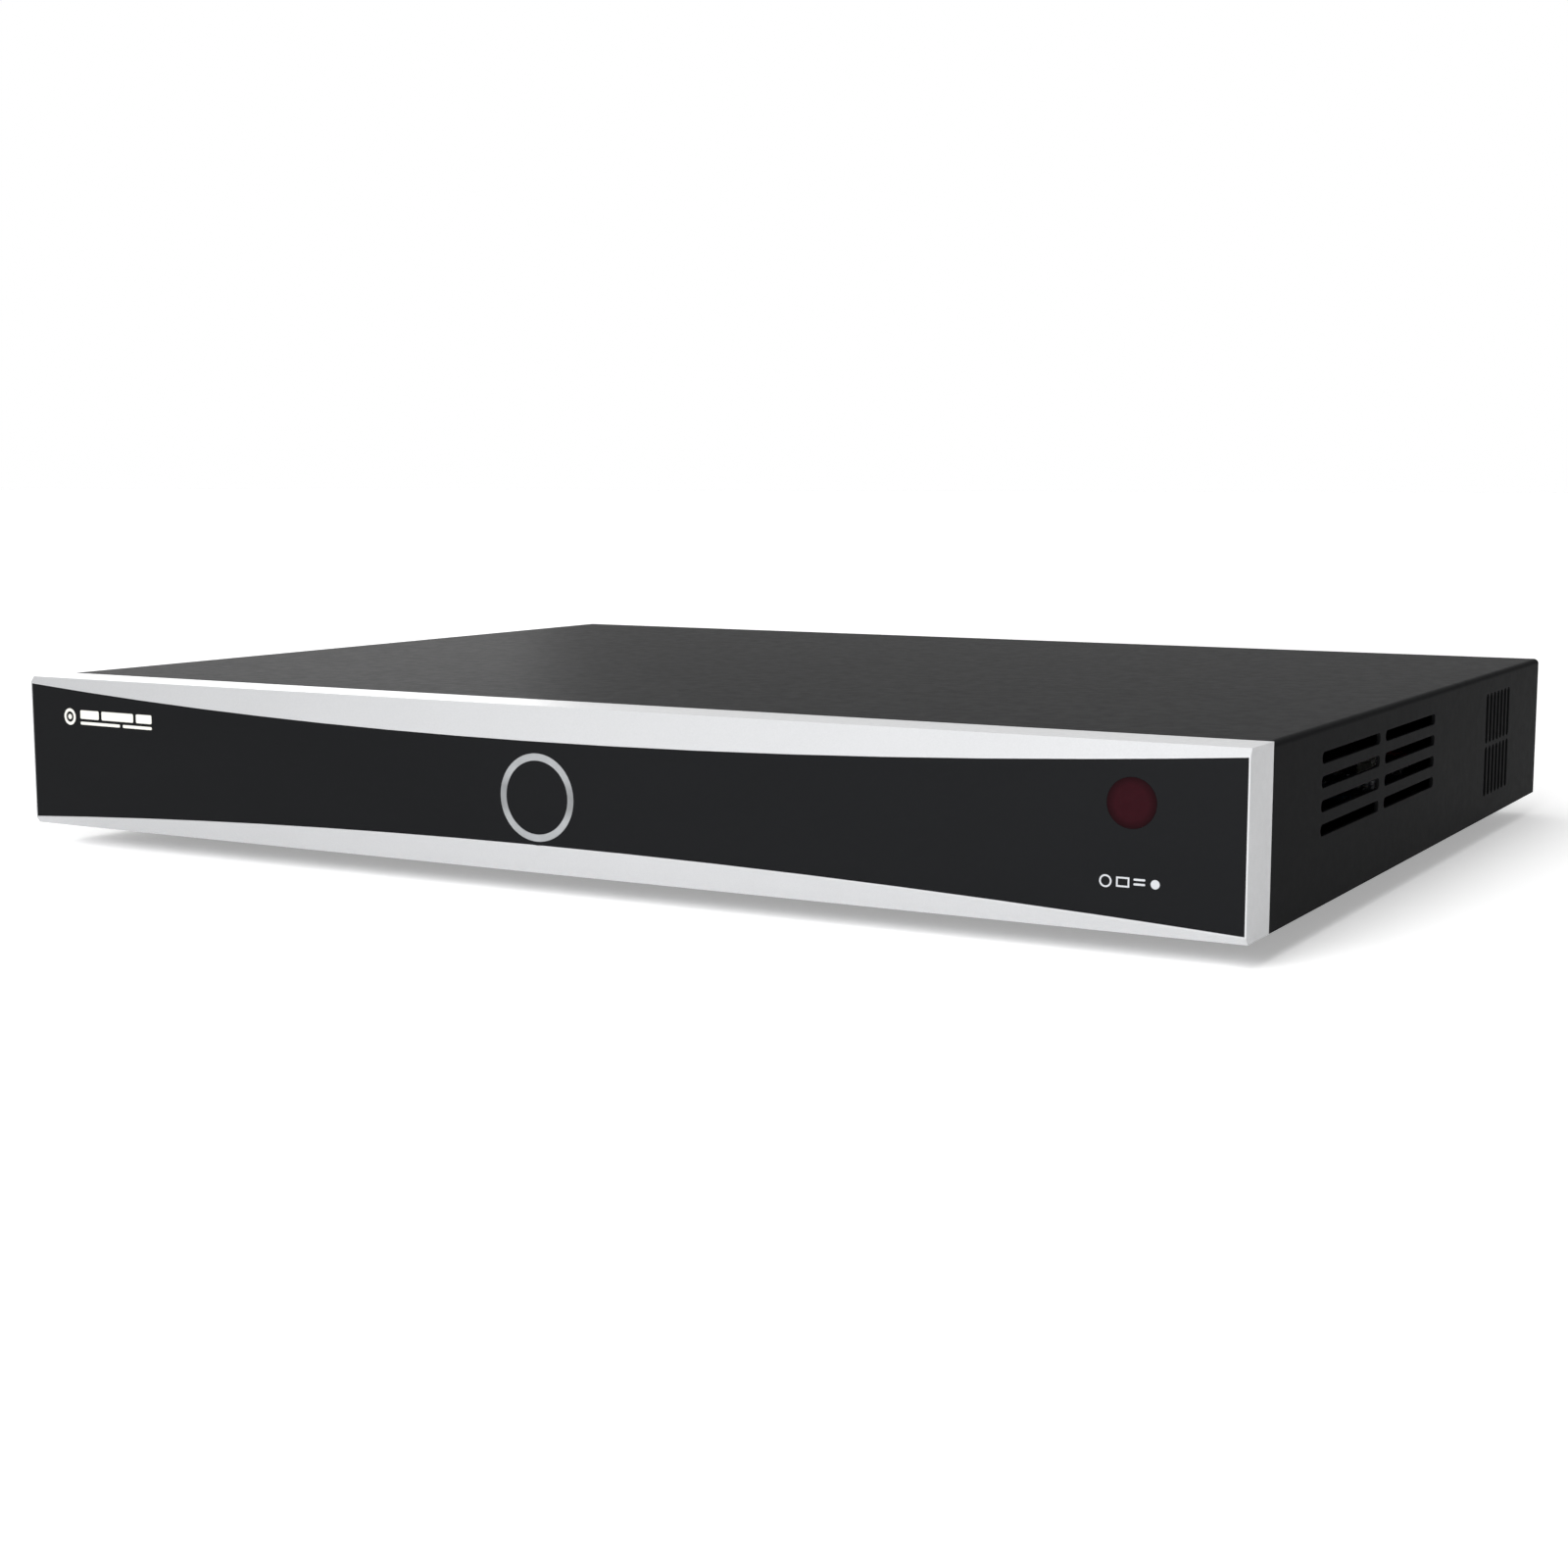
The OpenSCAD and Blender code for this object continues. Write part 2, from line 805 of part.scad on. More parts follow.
module cell_holder() {
    color([0.12, 0.12, 0.12])
        translate([cell_x, cell_y, mb_top])
            difference() {
                cylinder(r = 12, h = 4.6, $fn = 64);
                translate([0, 0, 1.2])
                    cylinder(r = 10.1, h = 4, $fn = 64);
                translate([-14, -14, 2.2])
                    cube([28, 7, 4]);
            }
}

module coin_cell() {
    color([0.8, 0.8, 0.82])
        translate([cell_x, cell_y, mb_top + 1.2])
            union() {
                cylinder(r = 10, h = 2.7, $fn = 64);
                cylinder(r = 8.6, h = 3.2, $fn = 64);
            }
}

// Places its children at both drives, dx from the drive's middle
module drive_sides(dx) {
    for (side = [-1, 1])
        translate([side * drive_x + dx, 0, 0])
            children();
}

module sata_sockets() {
    color([0.08, 0.08, 0.09])
        drive_sides(data_dx)
            block_z(0, socket_y, 16, 5.6, mb_top, socket_h);
}

module board_headers() {
    color([0.9, 0.89, 0.84]) {
        drive_sides(power_dx)
            block_z(0, socket_y, 14, 5.8, mb_top, socket_h);
        block_z(0, socket_y - 1, 20, 5, mb_top, socket_h);
        block_z(fan_header_x, fan_y, 5, 8, mb_top, header_h);
        block_z(switch_header_x, y_rear - 31.7, 5, 8, mb_top, header_h);
    }
}

// ---------- Hard drives ----------

module drive_casting(x) {
    color([0.6, 0.61, 0.63])
        translate([x, (drive_y0 + drive_y1) / 2, drive_z])
            difference() {
                linear_extrude(drive_h - 0.6)
                    rounded2d(drive_w, drive_l, 2.5);
                translate([0, 18, -1])
                    linear_extrude(4.2)
                        rounded2d(90, 112, 3);
                translate([0, 0, drive_h - 1.8])
                    linear_extrude(3)
                        rounded2d(drive_w - 8, drive_l - 8, 6);
                for (hx = [-drive_hole_x, drive_hole_x], hy = drive_hole_y)
                    translate([hx, hy - drive_l / 2, -1])
                        cylinder(r = thread_r, h = 6, $fn = 32);
                for (side = [-1, 1], hy = [28.5, 102])
                    translate([side * drive_w / 2 - 4, hy - drive_l / 2, 6.35])
                        rotate([0, 90, 0])
                            cylinder(r = thread_r, h = 8, $fn = 32);
            }
}

module drive_lid(x) {
    color([0.72, 0.73, 0.75])
        translate([x, (drive_y0 + drive_y1) / 2, drive_z + drive_h - 1.8])
            difference() {
                union() {
                    linear_extrude(1.2)
                        rounded2d(drive_w - 8.4, drive_l - 8.4, 5.8);
                    translate([0, -22, 0])
                        cylinder(r = 40, h = 1.8, $fn = 96);
                    translate([22, 44, 0])
                        cylinder(r = 15, h = 1.8, $fn = 64);
                }
                for (hx = [-1, 1], hy = [-1, 0, 1])
                    translate([hx * (drive_w / 2 - 9), hy * (drive_l / 2 - 10), 0.5])
                        cylinder(r = 2.2, h = 2, $fn = 32);
            }
}

module drive_board(x) {
    color([0.08, 0.28, 0.2])
        translate([x, drive_y0, drive_z])
            union() {
                translate([-43, 38, 1.4])
                    cube([86, 104, 1.6]);
                translate([-2, 60, 0.4])
                    cube([14, 14, 1.1]);
                translate([-26, 80, 0.6])
                    cube([10, 8, 0.9]);
                translate([-26, drive_l - 13, 1.4])
                    cube([50, 12, 1.6]);
                translate([power_dx - 8, drive_l - 5, 0.4])
                    cube([16, 5, 2.5]);
                translate([data_dx - 6, drive_l - 5, 0.4])
                    cube([12, 5, 2.5]);
            }
}

// One moulded plug at the drive and one at the board, joined by a flat strap
module drive_cable(w, wire_w, wires) {
    block_y(0, cable_z - 0.5, w, 6, drive_y1 + 0.1, drive_y1 + plug_l);
    block_z(0, socket_y, w - 1, 5, mb_top + socket_h, cable_plug_h);
    for (i = [0 : wires - 1])
        translate([(i - (wires - 1) / 2) * (wire_w + 0.4), 0, 0])
            between_x(-wire_w / 2, wire_w / 2)
                strap2d(drive_y1 + plug_l - 1, cable_z, cable_y_up, socket_y, cable_turn_z,
                    mb_top + socket_h + cable_plug_h - 1, 1.6);
}

module drive_data_cables() {
    color([0.65, 0.1, 0.1])
        drive_sides(data_dx)
            drive_cable(12, 8, 1);
}

module drive_power_cables() {
    color([0.12, 0.12, 0.13])
        drive_sides(power_dx)
            drive_cable(13, 1.6, 5);
}

// ---------- Fan ----------

// Turns children built along +Z so that they run from the fan's inner face along +X
module on_fan_axis() {
    translate([fan_x0, fan_y, fan_z])
        rotate([0, 90, 0])
            children();
}

module fan_frame() {
    base_t = 1.6;
    color([0.09, 0.09, 0.1])
        on_fan_axis()
            difference() {
                union() {
                    difference() {
                        linear_extrude(fan_t)
                            rounded2d(fan_size, fan_size, 2.5);
                        translate([0, 0, -1])
                            cylinder(r = fan_bore_r, h = fan_t + 2, $fn = 96);
                    }
                    cylinder(r = fan_hub_r, h = base_t, $fn = 64);
                    cylinder(r = fan_shaft_r, h = fan_t - 2.5, $fn = 32);
                    for (i = [0 : 3])
                        rotate(45 + i * 90)
                            translate([fan_hub_r - 1, -1, 0])
                                cube([fan_bore_r - fan_hub_r + 2, 2, base_t]);
                }
                for (a = [-fan_hole, fan_hole], b = [-fan_hole, fan_hole])
                    translate([a, b, -1])
                        cylinder(r = thread_r + 0.2, h = fan_t + 2, $fn = 32);
            }
}

module fan_rotor() {
    rotor_z0 = 2;
    rotor_h = fan_t - 2.8;
    color([0.12, 0.12, 0.13])
        on_fan_axis()
            difference() {
                union() {
                    translate([0, 0, rotor_z0])
                        cylinder(r = fan_hub_r, h = rotor_h, $fn = 64);
                    intersection() {
                        translate([0, 0, rotor_z0])
                            cylinder(r = fan_blade_r, h = rotor_h, $fn = 96);
                        for (i = [0 : blade_count - 1])
                            rotate(i * 360 / blade_count)
                                translate([fan_hub_r - 1, 0, rotor_z0 + rotor_h / 2])
                                    rotate([52, 0, 0])
                                        translate([0, -7, -0.5])
                                            cube([12, 14, 1]);
                    }
                }
                translate([0, 0, rotor_z0 - 1])
                    cylinder(r = fan_shaft_r + 0.06, h = rotor_h, $fn = 32);
            }
}

module fan_screws() {
    color([0.7, 0.71, 0.72])
        for (y = [-fan_hole, fan_hole], z = [-fan_hole, fan_hole])
            translate([fan_x0, fan_y + y, fan_z + z])
                rotate([0, -90, 0])
                    pan_screw(fan_t + sheet_t - 0.2);
}

module fan_lead() {
    lead_w = 1.4;
    lead_z = mb_top + 9;
    color([0.6, 0.08, 0.08])
        for (i = [0 : 1])
            translate([0, fan_y - lead_w + i * (lead_w + 0.4), 0])
                union() {
                    translate([fan_header_x - lead_w / 2, 0, mb_top + header_h])
                        cube([lead_w, lead_w, lead_z - mb_top - header_h + lead_w]);
                    translate([fan_header_x, 0, lead_z])
                        cube([fan_x0 - fan_header_x, lead_w, lead_w]);
                }
}

// ---------- Rear sockets ----------

// Places its children at every video socket, in (x, z)
module bnc_places() {
    for (i = [0 : bnc_columns - 1], z = bnc_z)
        translate([bnc_x0 + i * bnc_pitch, 0, z])
            children();
}

module bnc_housing() {
    top = bnc_z[1] + 6.5;
    width = (bnc_columns - 1) * bnc_pitch + 14;
    color([0.07, 0.07, 0.08])
        difference() {
            translate([bnc_x0 - 7, y_wall_in - 19, rear_z0])
                cube([width, 18.7, top - rear_z0]);
            bnc_places()
                rod_y(0, 0, y_wall_in - 8, y_wall_in + 1, bnc_r + 0.02);
            bnc_places()
                rod_y(0, 0, y_wall_in - 14, y_wall_in, 0.87);
        }
}

module bnc_shells() {
    tip = overall_d / 2;
    color([0.8, 0.81, 0.82])
        bnc_places()
            difference() {
                union() {
                    rod_y(0, 0, y_wall_in - 8, tip, bnc_r);
                    translate([0, y_rear + 2.5, 0])
                        rotate([90, 0, 0])
                            cylinder(d = bnc_nut_d, h = 2.5, $fn = 6);
                    translate([-bnc_r - 0.9, tip - 5, 0])
                        rotate([0, 90, 0])
                            cylinder(r = 0.95, h = 2 * bnc_r + 1.8, $fn = 24);
                }
                rod_y(0, 0, y_wall_in - 9, tip + 1, bnc_bore_r);
            }
}

module bnc_insulators() {
    tip = overall_d / 2;
    color([0.93, 0.92, 0.88])
        bnc_places()
            difference() {
                union() {
                    rod_y(0, 0, y_wall_in - 8, tip - 8, bnc_bore_r - 0.02);
                    rod_y(0, 0, y_wall_in - 8, tip - 2, 2.3);
                }
                rod_y(0, 0, y_wall_in - 9, tip, 0.87, 24);
            }
}

module bnc_contacts() {
    tip = overall_d / 2;
    color([0.85, 0.68, 0.3])
        bnc_places()
            difference() {
                rod_y(0, 0, y_wall_in - 13.9, tip - 2.3, 0.85, 24);
                rod_y(0, 0, tip - 7, tip, 0.45, 24);
            }
}

// Places its children at every audio socket, in (x, z)
module rca_places() {
    for (i = [0 : rca_columns - 1], z = rca_z)
        translate([rca_x0 + i * rca_pitch, 0, z])
            children();
}

module rca_housing() {
    color([0.07, 0.07, 0.08])
        difference() {
            union() {
                translate([rca_x0 - 6.5, y_wall_in - 14, rear_z0])
                    cube([(rca_columns - 1) * rca_pitch + 13, 13.7, rca_z[1] + 6 - rear_z0]);
                rca_places()
                    rod_y(0, 0, y_wall_in - 2, y_rear + rca_collar, rca_r + 1);
            }
            rca_places()
                rod_y(0, 0, y_wall_in - 9, y_rear + 3, rca_stem_r + 0.02);
        }
}

// A cup outside the collar on a thinner stem inside the housing
module rca_shells() {
    color([0.82, 0.82, 0.8])
        rca_places()
            difference() {
                union() {
                    rod_y(0, 0, y_wall_in - 9, rca_cup_y, rca_stem_r);
                    rod_y(0, 0, y_rear + rca_collar, y_rear + rca_out, rca_r);
                }
                rod_y(0, 0, y_wall_in - 10, y_rear + rca_out, rca_stem_r - 0.5);
                rod_y(0, 0, rca_cup_y, y_rear + rca_out + 1, rca_r - 0.5);
            }
}

module rca_insulators() {
    color([0.85, 0.1, 0.1])
        rca_places()
            difference() {
                union() {
                    rod_y(0, 0, y_wall_in - 9, rca_cup_y + 1, rca_stem_r - 0.52);
                    rod_y(0, 0, rca_cup_y + 0.02, y_rear + rca_out - 1.2, rca_r - 0.52);
                }
                rod_y(0, 0, y_wall_in - 3, y_rear + rca_out, 1.6);
            }
}

// Outline of the VGA shell: wider at the top
module vga2d(grow) {
    polygon([
        [-8.5 - grow, 4.2 + grow],
        [8.5 + grow, 4.2 + grow],
        [7 + grow, -4.2 - grow],
        [-7 - grow, -4.2 - grow]
    ]);
}

module vga_shell() {
    color([0.78, 0.79, 0.8])
        difference() {
            union() {
                block_y(vga_x, vga_z, 30.8, 12.5, y_wall_in - 1, y_wall_in - 0.2);
                translate([vga_x, 0, vga_z])
                    between_y(y_wall_in - 1, y_rear + 5.4)
                        vga2d(0.4);
            }
            translate([vga_x, 0, vga_z])
                between_y(y_wall_in - 3, y_rear + 7)
                    vga2d(0);
            for (side = [-1, 1])
                rod_y(vga_x + side * vga_screw_dx, vga_z, y_wall_in - 3, y_rear + 1, 1.65);
        }
}

module vga_insert() {
    pin_pitch = 2.29;
    color([0.1, 0.2, 0.6])
        difference() {
            union() {
                block_y(vga_x, vga_z, 30, 12.5, y_wall_in - 14, y_wall_in - 1.05);
                translate([vga_x, 0, vga_z])
                    between_y(y_wall_in - 2, y_rear + 4.6)
                        vga2d(-0.5);
                block_y(vga_x, (rear_z0 + vga_z) / 2, 30, vga_z - rear_z0, y_wall_in - 14, y_wall_in - 3);
            }
            for (row = [-1 : 1], i = [-2 : 2])
                rod_y(vga_x + i * pin_pitch + row * 0.57, vga_z + row * 1.98, y_rear - 1, y_rear + 6,
                    0.55, 24);
            for (side = [-1, 1])
                rod_y(vga_x + side * vga_screw_dx, vga_z, y_wall_in - 6, y_wall_in, 1.65);
        }
}

module vga_nuts() {
    color([0.75, 0.76, 0.77])
        for (side = [-1, 1])
            difference() {
                union() {
                    translate([vga_x + side * vga_screw_dx, y_rear + 5, vga_z])
                        rotate([90, 0, 0])
                            cylinder(d = 5.4, h = 5, $fn = 6);
                    rod_y(vga_x + side * vga_screw_dx, vga_z, y_wall_in - 5, y_rear + 1, 1.6);
                }
                rod_y(vga_x + side * vga_screw_dx, vga_z, y_rear - 2, y_rear + 6, 1.4);
            }
}

module hdmi_shell() {
    color([0.78, 0.79, 0.8])
        difference() {
            block_y(hdmi_x, hdmi_z, 15, 5.8, y_wall_in - 11, y_rear + 0.8);
            block_y(hdmi_x, hdmi_z + 0.4, 14, 3.9, y_wall_in - 9, y_rear + 2);
            block_y(hdmi_x, hdmi_z - 1, 11, 3, y_wall_in - 9, y_rear + 2);
        }
}

module hdmi_tongue() {
    color([0.1, 0.1, 0.1])
        block_y(hdmi_x, hdmi_z + 0.3, 10.2, 1.6, y_wall_in - 9, y_rear - 0.6);
}

module usb_shell() {
    color([0.78, 0.79, 0.8])
        difference() {
            block_y(usb_x, rear_z0 + usb_h / 2, usb_w, usb_h, y_rear + 0.8 - usb_d, y_rear + 0.8);
            for (z = usb_rows)
                block_y(usb_x, z, 12.5, 5.3, y_rear - 12, y_rear + 2);
        }
}

module usb_tongues() {
    color([0.93, 0.93, 0.9])
        for (z = usb_rows)
            block_y(usb_x, z + 1.3, 11, 1.9, y_rear - 12, y_rear - 0.8);
}

module lan_jack() {
    mouth_z = rear_z0 + 5.7;
    color([0.7, 0.71, 0.72])
        union() {
            difference() {
                block_y(lan_x, rear_z0 + lan_h / 2, lan_w, lan_h, y_rear + 0.8 - lan_d, y_rear + 0.8);
                block_y(lan_x, mouth_z, 11.9, 7, y_rear - 13, y_rear + 2);
                block_y(lan_x, mouth_z + 4, 6, 3, y_rear - 13, y_rear + 2);
            }
            for (i = [0 : 7])
                block_y(lan_x + (i - 3.5) * 1.02, mouth_z - 3.2, 0.45, 1.2, y_rear - 12.5, y_rear - 2);
        }
}

// Places its children at every screw terminal, along x
module terminal_places() {
    for (i = [0 : terminal_count - 1])
        translate([terminal_x + (i - (terminal_count - 1) / 2) * terminal_pitch, 0, 0])
            children();
}

module terminal_header() {
    back = y_rear - plug_in - terminal_gap;
    outer_w = terminal_w + 2 * (terminal_wall + terminal_gap);
    outer_h = terminal_h + 2 * (terminal_wall + terminal_gap);
    color([0.1, 0.38, 0.2])
        union() {
            difference() {
                block_y(terminal_x, terminal_mid, outer_w, outer_h, back - 1.5, y_rear + 0.3);
                block_y(terminal_x, terminal_mid, outer_w - 2 * terminal_wall, outer_h - 2 * terminal_wall,
                    back, y_rear + 2);
            }
            terminal_places()
                rod_y(0, terminal_mid, back - 1, y_rear - 3, 0.5, 24);
        }
}

module terminal_plug() {
    color([0.12, 0.45, 0.24])
        difference() {
            block_y(terminal_x, terminal_mid, terminal_w, terminal_h, y_rear - plug_in, y_rear + plug_out);
            terminal_places()
                rod_y(0, terminal_mid, y_rear - plug_in - 1, y_rear - 2.4, 0.9, 24);
            terminal_places()
                block_y(0, terminal_mid - 1, 2.8, 3.4, y_rear + 1, y_rear + plug_out + 1);
            terminal_places()
                translate([0, y_rear + 3.5, terminal_mid + 1.2])
                    cylinder(r = 1.75, h = 6, $fn = 32);
        }
}

module terminal_screws() {
    color([0.75, 0.75, 0.76])
        terminal_places()
            translate([0, y_rear + 3.5, terminal_mid + 1.25])
                difference() {
                    cylinder(r = 1.7, h = 2.6, $fn = 32);
                    translate([-2, -0.3, 1.8])
                        cube([4, 0.6, 2]);
                }
}

module dc_jack() {
    color([0.06, 0.06, 0.07])
        difference() {
            block_y(dc_x, dc_z, dc_w, dc_h, y_wall_in - 11.5, y_rear + 1);
            rod_y(dc_x, dc_z, y_wall_in - 8, y_rear + 2, 3.15);
            rod_y(dc_x, dc_z, y_wall_in - 10.5, y_rear, 1.02);
        }
}

module dc_pin() {
    color([0.8, 0.8, 0.8])
        rod_y(dc_x, dc_z, y_wall_in - 10.4, y_rear - 0.5, 1);
}

module switch_body() {
    tab_l = 7;
    color([0.05, 0.05, 0.055])
        difference() {
            union() {
                block_y(switch_x, switch_z, 21.5, 15.5, y_rear, y_rear + 1.8);
                block_y(switch_x, switch_z, switch_w, switch_h, y_rear - 15, y_rear + 1);
                for (x = [-5, 5])
                    block_y(switch_x + x, switch_z, 0.8, 4.8, y_rear - 15 - tab_l, y_rear - 14);
            }
            difference() {
                block_y(switch_x, switch_z, 2 * rocker_half + 1.8, rocker_h + 0.8, y_rear - 7, y_rear + 3);
                translate([switch_x, rocker_y, switch_z - rocker_h / 2 - 1])
                    cylinder(r = pivot_r, h = rocker_h + 2, $fn = 32);
            }
        }
}

// Side view of the rocker about its pivot: two faces that meet in a shallow valley
module switch_rocker() {
    color([0.08, 0.08, 0.09])
        translate([switch_x, rocker_y, switch_z - rocker_h / 2])
            rotate(-rocker_tilt)
                difference() {
                    linear_extrude(rocker_h)
                        polygon([
                            [-rocker_half, 4.4],
                            [0, 3.2],
                            [rocker_half, 4.4],
                            [rocker_half - 1, -1.5],
                            [0, -3.5],
                            [-rocker_half + 1, -1.5]
                        ]);
                    translate([0, 0, -1])
                        cylinder(r = pivot_r + 0.05, h = rocker_h + 2, $fn = 32);
                }
}

// Two leads from the switch's tabs over the board to its header, one behind the other
module switch_leads() {
    lead = 1.6;
    tab_y = y_rear - 22;
    color([0.12, 0.12, 0.13])
        for (i = [0 : 1]) {
            x = switch_x - 5 + i * 10;
            y0 = tab_y - 12 + i * 3;
            union() {
                translate([x - lead / 2, y0, switch_z - 2])
                    cube([lead, tab_y - y0, 4]);
                translate([x - lead / 2, y0, switch_z - lead / 2])
                    cube([switch_header_x - x + lead, lead, lead]);
                translate([switch_header_x - lead / 2, y0, mb_top + header_h])
                    cube([lead, lead, switch_z - mb_top - header_h + lead / 2]);
            }
        }
}

module feet() {
    color([0.07, 0.07, 0.07])
        foot_places()
            difference() {
                union() {
                    cylinder(d1 = foot_d - 2, d2 = foot_d, h = 1.5, $fn = 64);
                    translate([0, 0, 1.4])
                        cylinder(d = foot_d, h = foot_h - 1.4, $fn = 64);
                }
                translate([0, 0, -1])
                    cylinder(d = 8, h = foot_h - 2, $fn = 48);
                cylinder(r = thread_r, h = foot_h + 1, $fn = 32);
            }
}

base_chassis();
top_cover();
cover_screws();
front_bezel();
front_panel();
status_ring();
ir_window();
front_board();
ir_receiver();
ring_leds();
front_ribbon();
m3_screws();
main_board();
heat_sink();
processor();
memory_chips();
video_decoders();
capacitors();
inductors();
coin_cell();
cell_holder();
sata_sockets();
board_headers();
drive_casting(-drive_x);  // drive_left_casting
drive_lid(-drive_x);  // drive_left_lid
drive_board(-drive_x);  // drive_left_board
drive_casting(drive_x);  // drive_right_casting
drive_lid(drive_x);  // drive_right_lid
drive_board(drive_x);  // drive_right_board
drive_screws();
drive_data_cables();
drive_power_cables();
fan_frame();
fan_rotor();
fan_screws();
fan_lead();
bnc_housing();
bnc_shells();
bnc_insulators();
bnc_contacts();
rca_housing();
rca_shells();
rca_insulators();
vga_shell();
vga_insert();
vga_nuts();
hdmi_shell();
hdmi_tongue();
usb_shell();
usb_tongues();
lan_jack();
terminal_header();
terminal_plug();
terminal_screws();
dc_jack();
dc_pin();
switch_body();
switch_rocker();
switch_leads();
feet();
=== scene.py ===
"""A 1U video recorder: materials, printed marks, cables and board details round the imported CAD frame.

The frame is in metres: X right, Y to the rear, Z up, origin on the table under the middle. The pieces
made here are worked out in millimetres, and Build turns them into metres.
"""
import functools
import json
import math
import random

import bmesh
import bpy
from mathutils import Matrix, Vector
from mathutils.bvhtree import BVHTree


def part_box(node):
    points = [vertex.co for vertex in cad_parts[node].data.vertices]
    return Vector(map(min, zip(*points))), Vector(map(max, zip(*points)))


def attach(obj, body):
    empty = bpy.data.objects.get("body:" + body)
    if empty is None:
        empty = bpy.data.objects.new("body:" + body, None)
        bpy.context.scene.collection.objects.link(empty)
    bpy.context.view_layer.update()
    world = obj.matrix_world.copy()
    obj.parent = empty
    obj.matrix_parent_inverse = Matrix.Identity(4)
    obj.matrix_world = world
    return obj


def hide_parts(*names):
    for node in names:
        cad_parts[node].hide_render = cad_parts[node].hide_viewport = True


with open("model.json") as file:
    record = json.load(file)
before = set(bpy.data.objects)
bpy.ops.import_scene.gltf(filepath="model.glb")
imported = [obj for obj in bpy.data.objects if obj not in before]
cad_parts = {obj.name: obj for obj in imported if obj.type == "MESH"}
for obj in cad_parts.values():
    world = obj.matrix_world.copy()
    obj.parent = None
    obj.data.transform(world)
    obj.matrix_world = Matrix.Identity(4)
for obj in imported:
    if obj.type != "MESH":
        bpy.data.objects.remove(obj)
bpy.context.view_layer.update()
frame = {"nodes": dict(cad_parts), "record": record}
MM = 0.001


# ---------------------------------------------------------------- materials

NOISE_LOW, NOISE_HIGH = 0.3, 0.7  # most values of a noise texture lie between these


class Finish:
    """A Principled material whose colour, roughness and relief come from textures in object space.

    Texture scales are per metre, and depths of relief are in metres.
    """

    def __init__(self, name, **sockets):
        self.material = bpy.data.materials.new(name)
        self.material.use_nodes = True
        self.tree = self.material.node_tree
        self.tree.nodes.clear()
        output = self.tree.nodes.new("ShaderNodeOutputMaterial")
        self.shader = self.tree.nodes.new("ShaderNodeBsdfPrincipled")
        self.tree.links.new(self.shader.outputs["BSDF"], output.inputs["Surface"])
        for socket, value in sockets.items():
            self.shader.inputs[socket.replace("_", " ")].default_value = value
        self.coordinates = self.tree.nodes.new("ShaderNodeTexCoord").outputs["Object"]

    def link(self, source, target):
        """Connects a socket to another one, or gives it a fixed value."""
        if hasattr(source, "is_output"):
            self.tree.links.new(source, target)
        else:
            target.default_value = source

    def node(self, kind, **settings):
        made = self.tree.nodes.new(kind)
        for key, value in settings.items():
            setattr(made, key, value)
        return made

    def stretched(self, scale):
        """Object coordinates scaled per axis, for drawn lines and streaks."""
        mapping = self.node("ShaderNodeMapping")
        mapping.inputs["Scale"].default_value = scale
        self.link(self.coordinates, mapping.inputs["Vector"])
        return mapping.outputs["Vector"]

    def noise(self, scale, detail, vector=None, distortion=0.0):
        made = self.node("ShaderNodeTexNoise")
        made.inputs["Scale"].default_value = scale
        made.inputs["Detail"].default_value = detail
        made.inputs["Distortion"].default_value = distortion
        self.link(vector or self.coordinates, made.inputs["Vector"])
        return made.outputs["Fac"]

    def cells(self, scale, feature="F1", output="Distance"):
        made = self.node("ShaderNodeTexVoronoi", feature=feature)
        made.inputs["Scale"].default_value = scale
        self.link(self.coordinates, made.inputs["Vector"])
        return made.outputs[output]

    def axis(self, letter, vector=None):
        made = self.node("ShaderNodeSeparateXYZ")
        self.link(vector or self.coordinates, made.inputs["Vector"])
        return made.outputs[letter]

    def calc(self, operation, a, b=0.0):
        made = self.node("ShaderNodeMath", operation=operation)
        self.link(a, made.inputs[0])
        self.link(b, made.inputs[1])
        return made.outputs["Value"]

    def spread(self, value, low, high, to_low, to_high):
        """Stretches the values between low and high over a new range."""
        made = self.node("ShaderNodeMapRange")
        ends = {"From Min": low, "From Max": high, "To Min": to_low, "To Max": to_high}
        for socket, number in ends.items():
            made.inputs[socket].default_value = number
        self.link(value, made.inputs["Value"])
        return made.outputs["Result"]

    def blend(self, factor, first, second):
        """A mix of two colours."""
        made = self.node("ShaderNodeMix", data_type="RGBA")
        self.link(factor, made.inputs["Factor"])
        for socket, colour in (("A", first), ("B", second)):
            target = [s for s in made.inputs if s.name == socket and s.type == "RGBA"][0]
            self.link(colour if hasattr(colour, "is_output") else (*colour[:3], 1.0), target)
        return [s for s in made.outputs if s.type == "RGBA"][0]

    def clouded(self, colour, scale, detail, darkest, brightest):
        """A colour that wanders between two brightnesses."""
        return self.blend(self.noise(scale, detail), shade(colour, darkest), shade(colour, brightest))

    def colour(self, source):
        self.link(source, self.shader.inputs["Base Color"])

    def roughness(self, noise, low, high, top=NOISE_HIGH):
        """Roughness from low to high, following a noise; it is highest where the noise reaches top."""
        self.link(self.spread(noise, NOISE_LOW, top, low, high), self.shader.inputs["Roughness"])

    def relief(self, height, depth):
        made = self.node("ShaderNodeBump")
        made.inputs["Strength"].default_value = 1.0
        made.inputs["Distance"].default_value = depth
        self.link(height, made.inputs["Height"])
        self.link(made.outputs["Normal"], self.shader.inputs["Normal"])


def shade(colour, factor):
    """A colour made lighter or darker."""
    return tuple(min(1.0, channel * factor) for channel in colour)


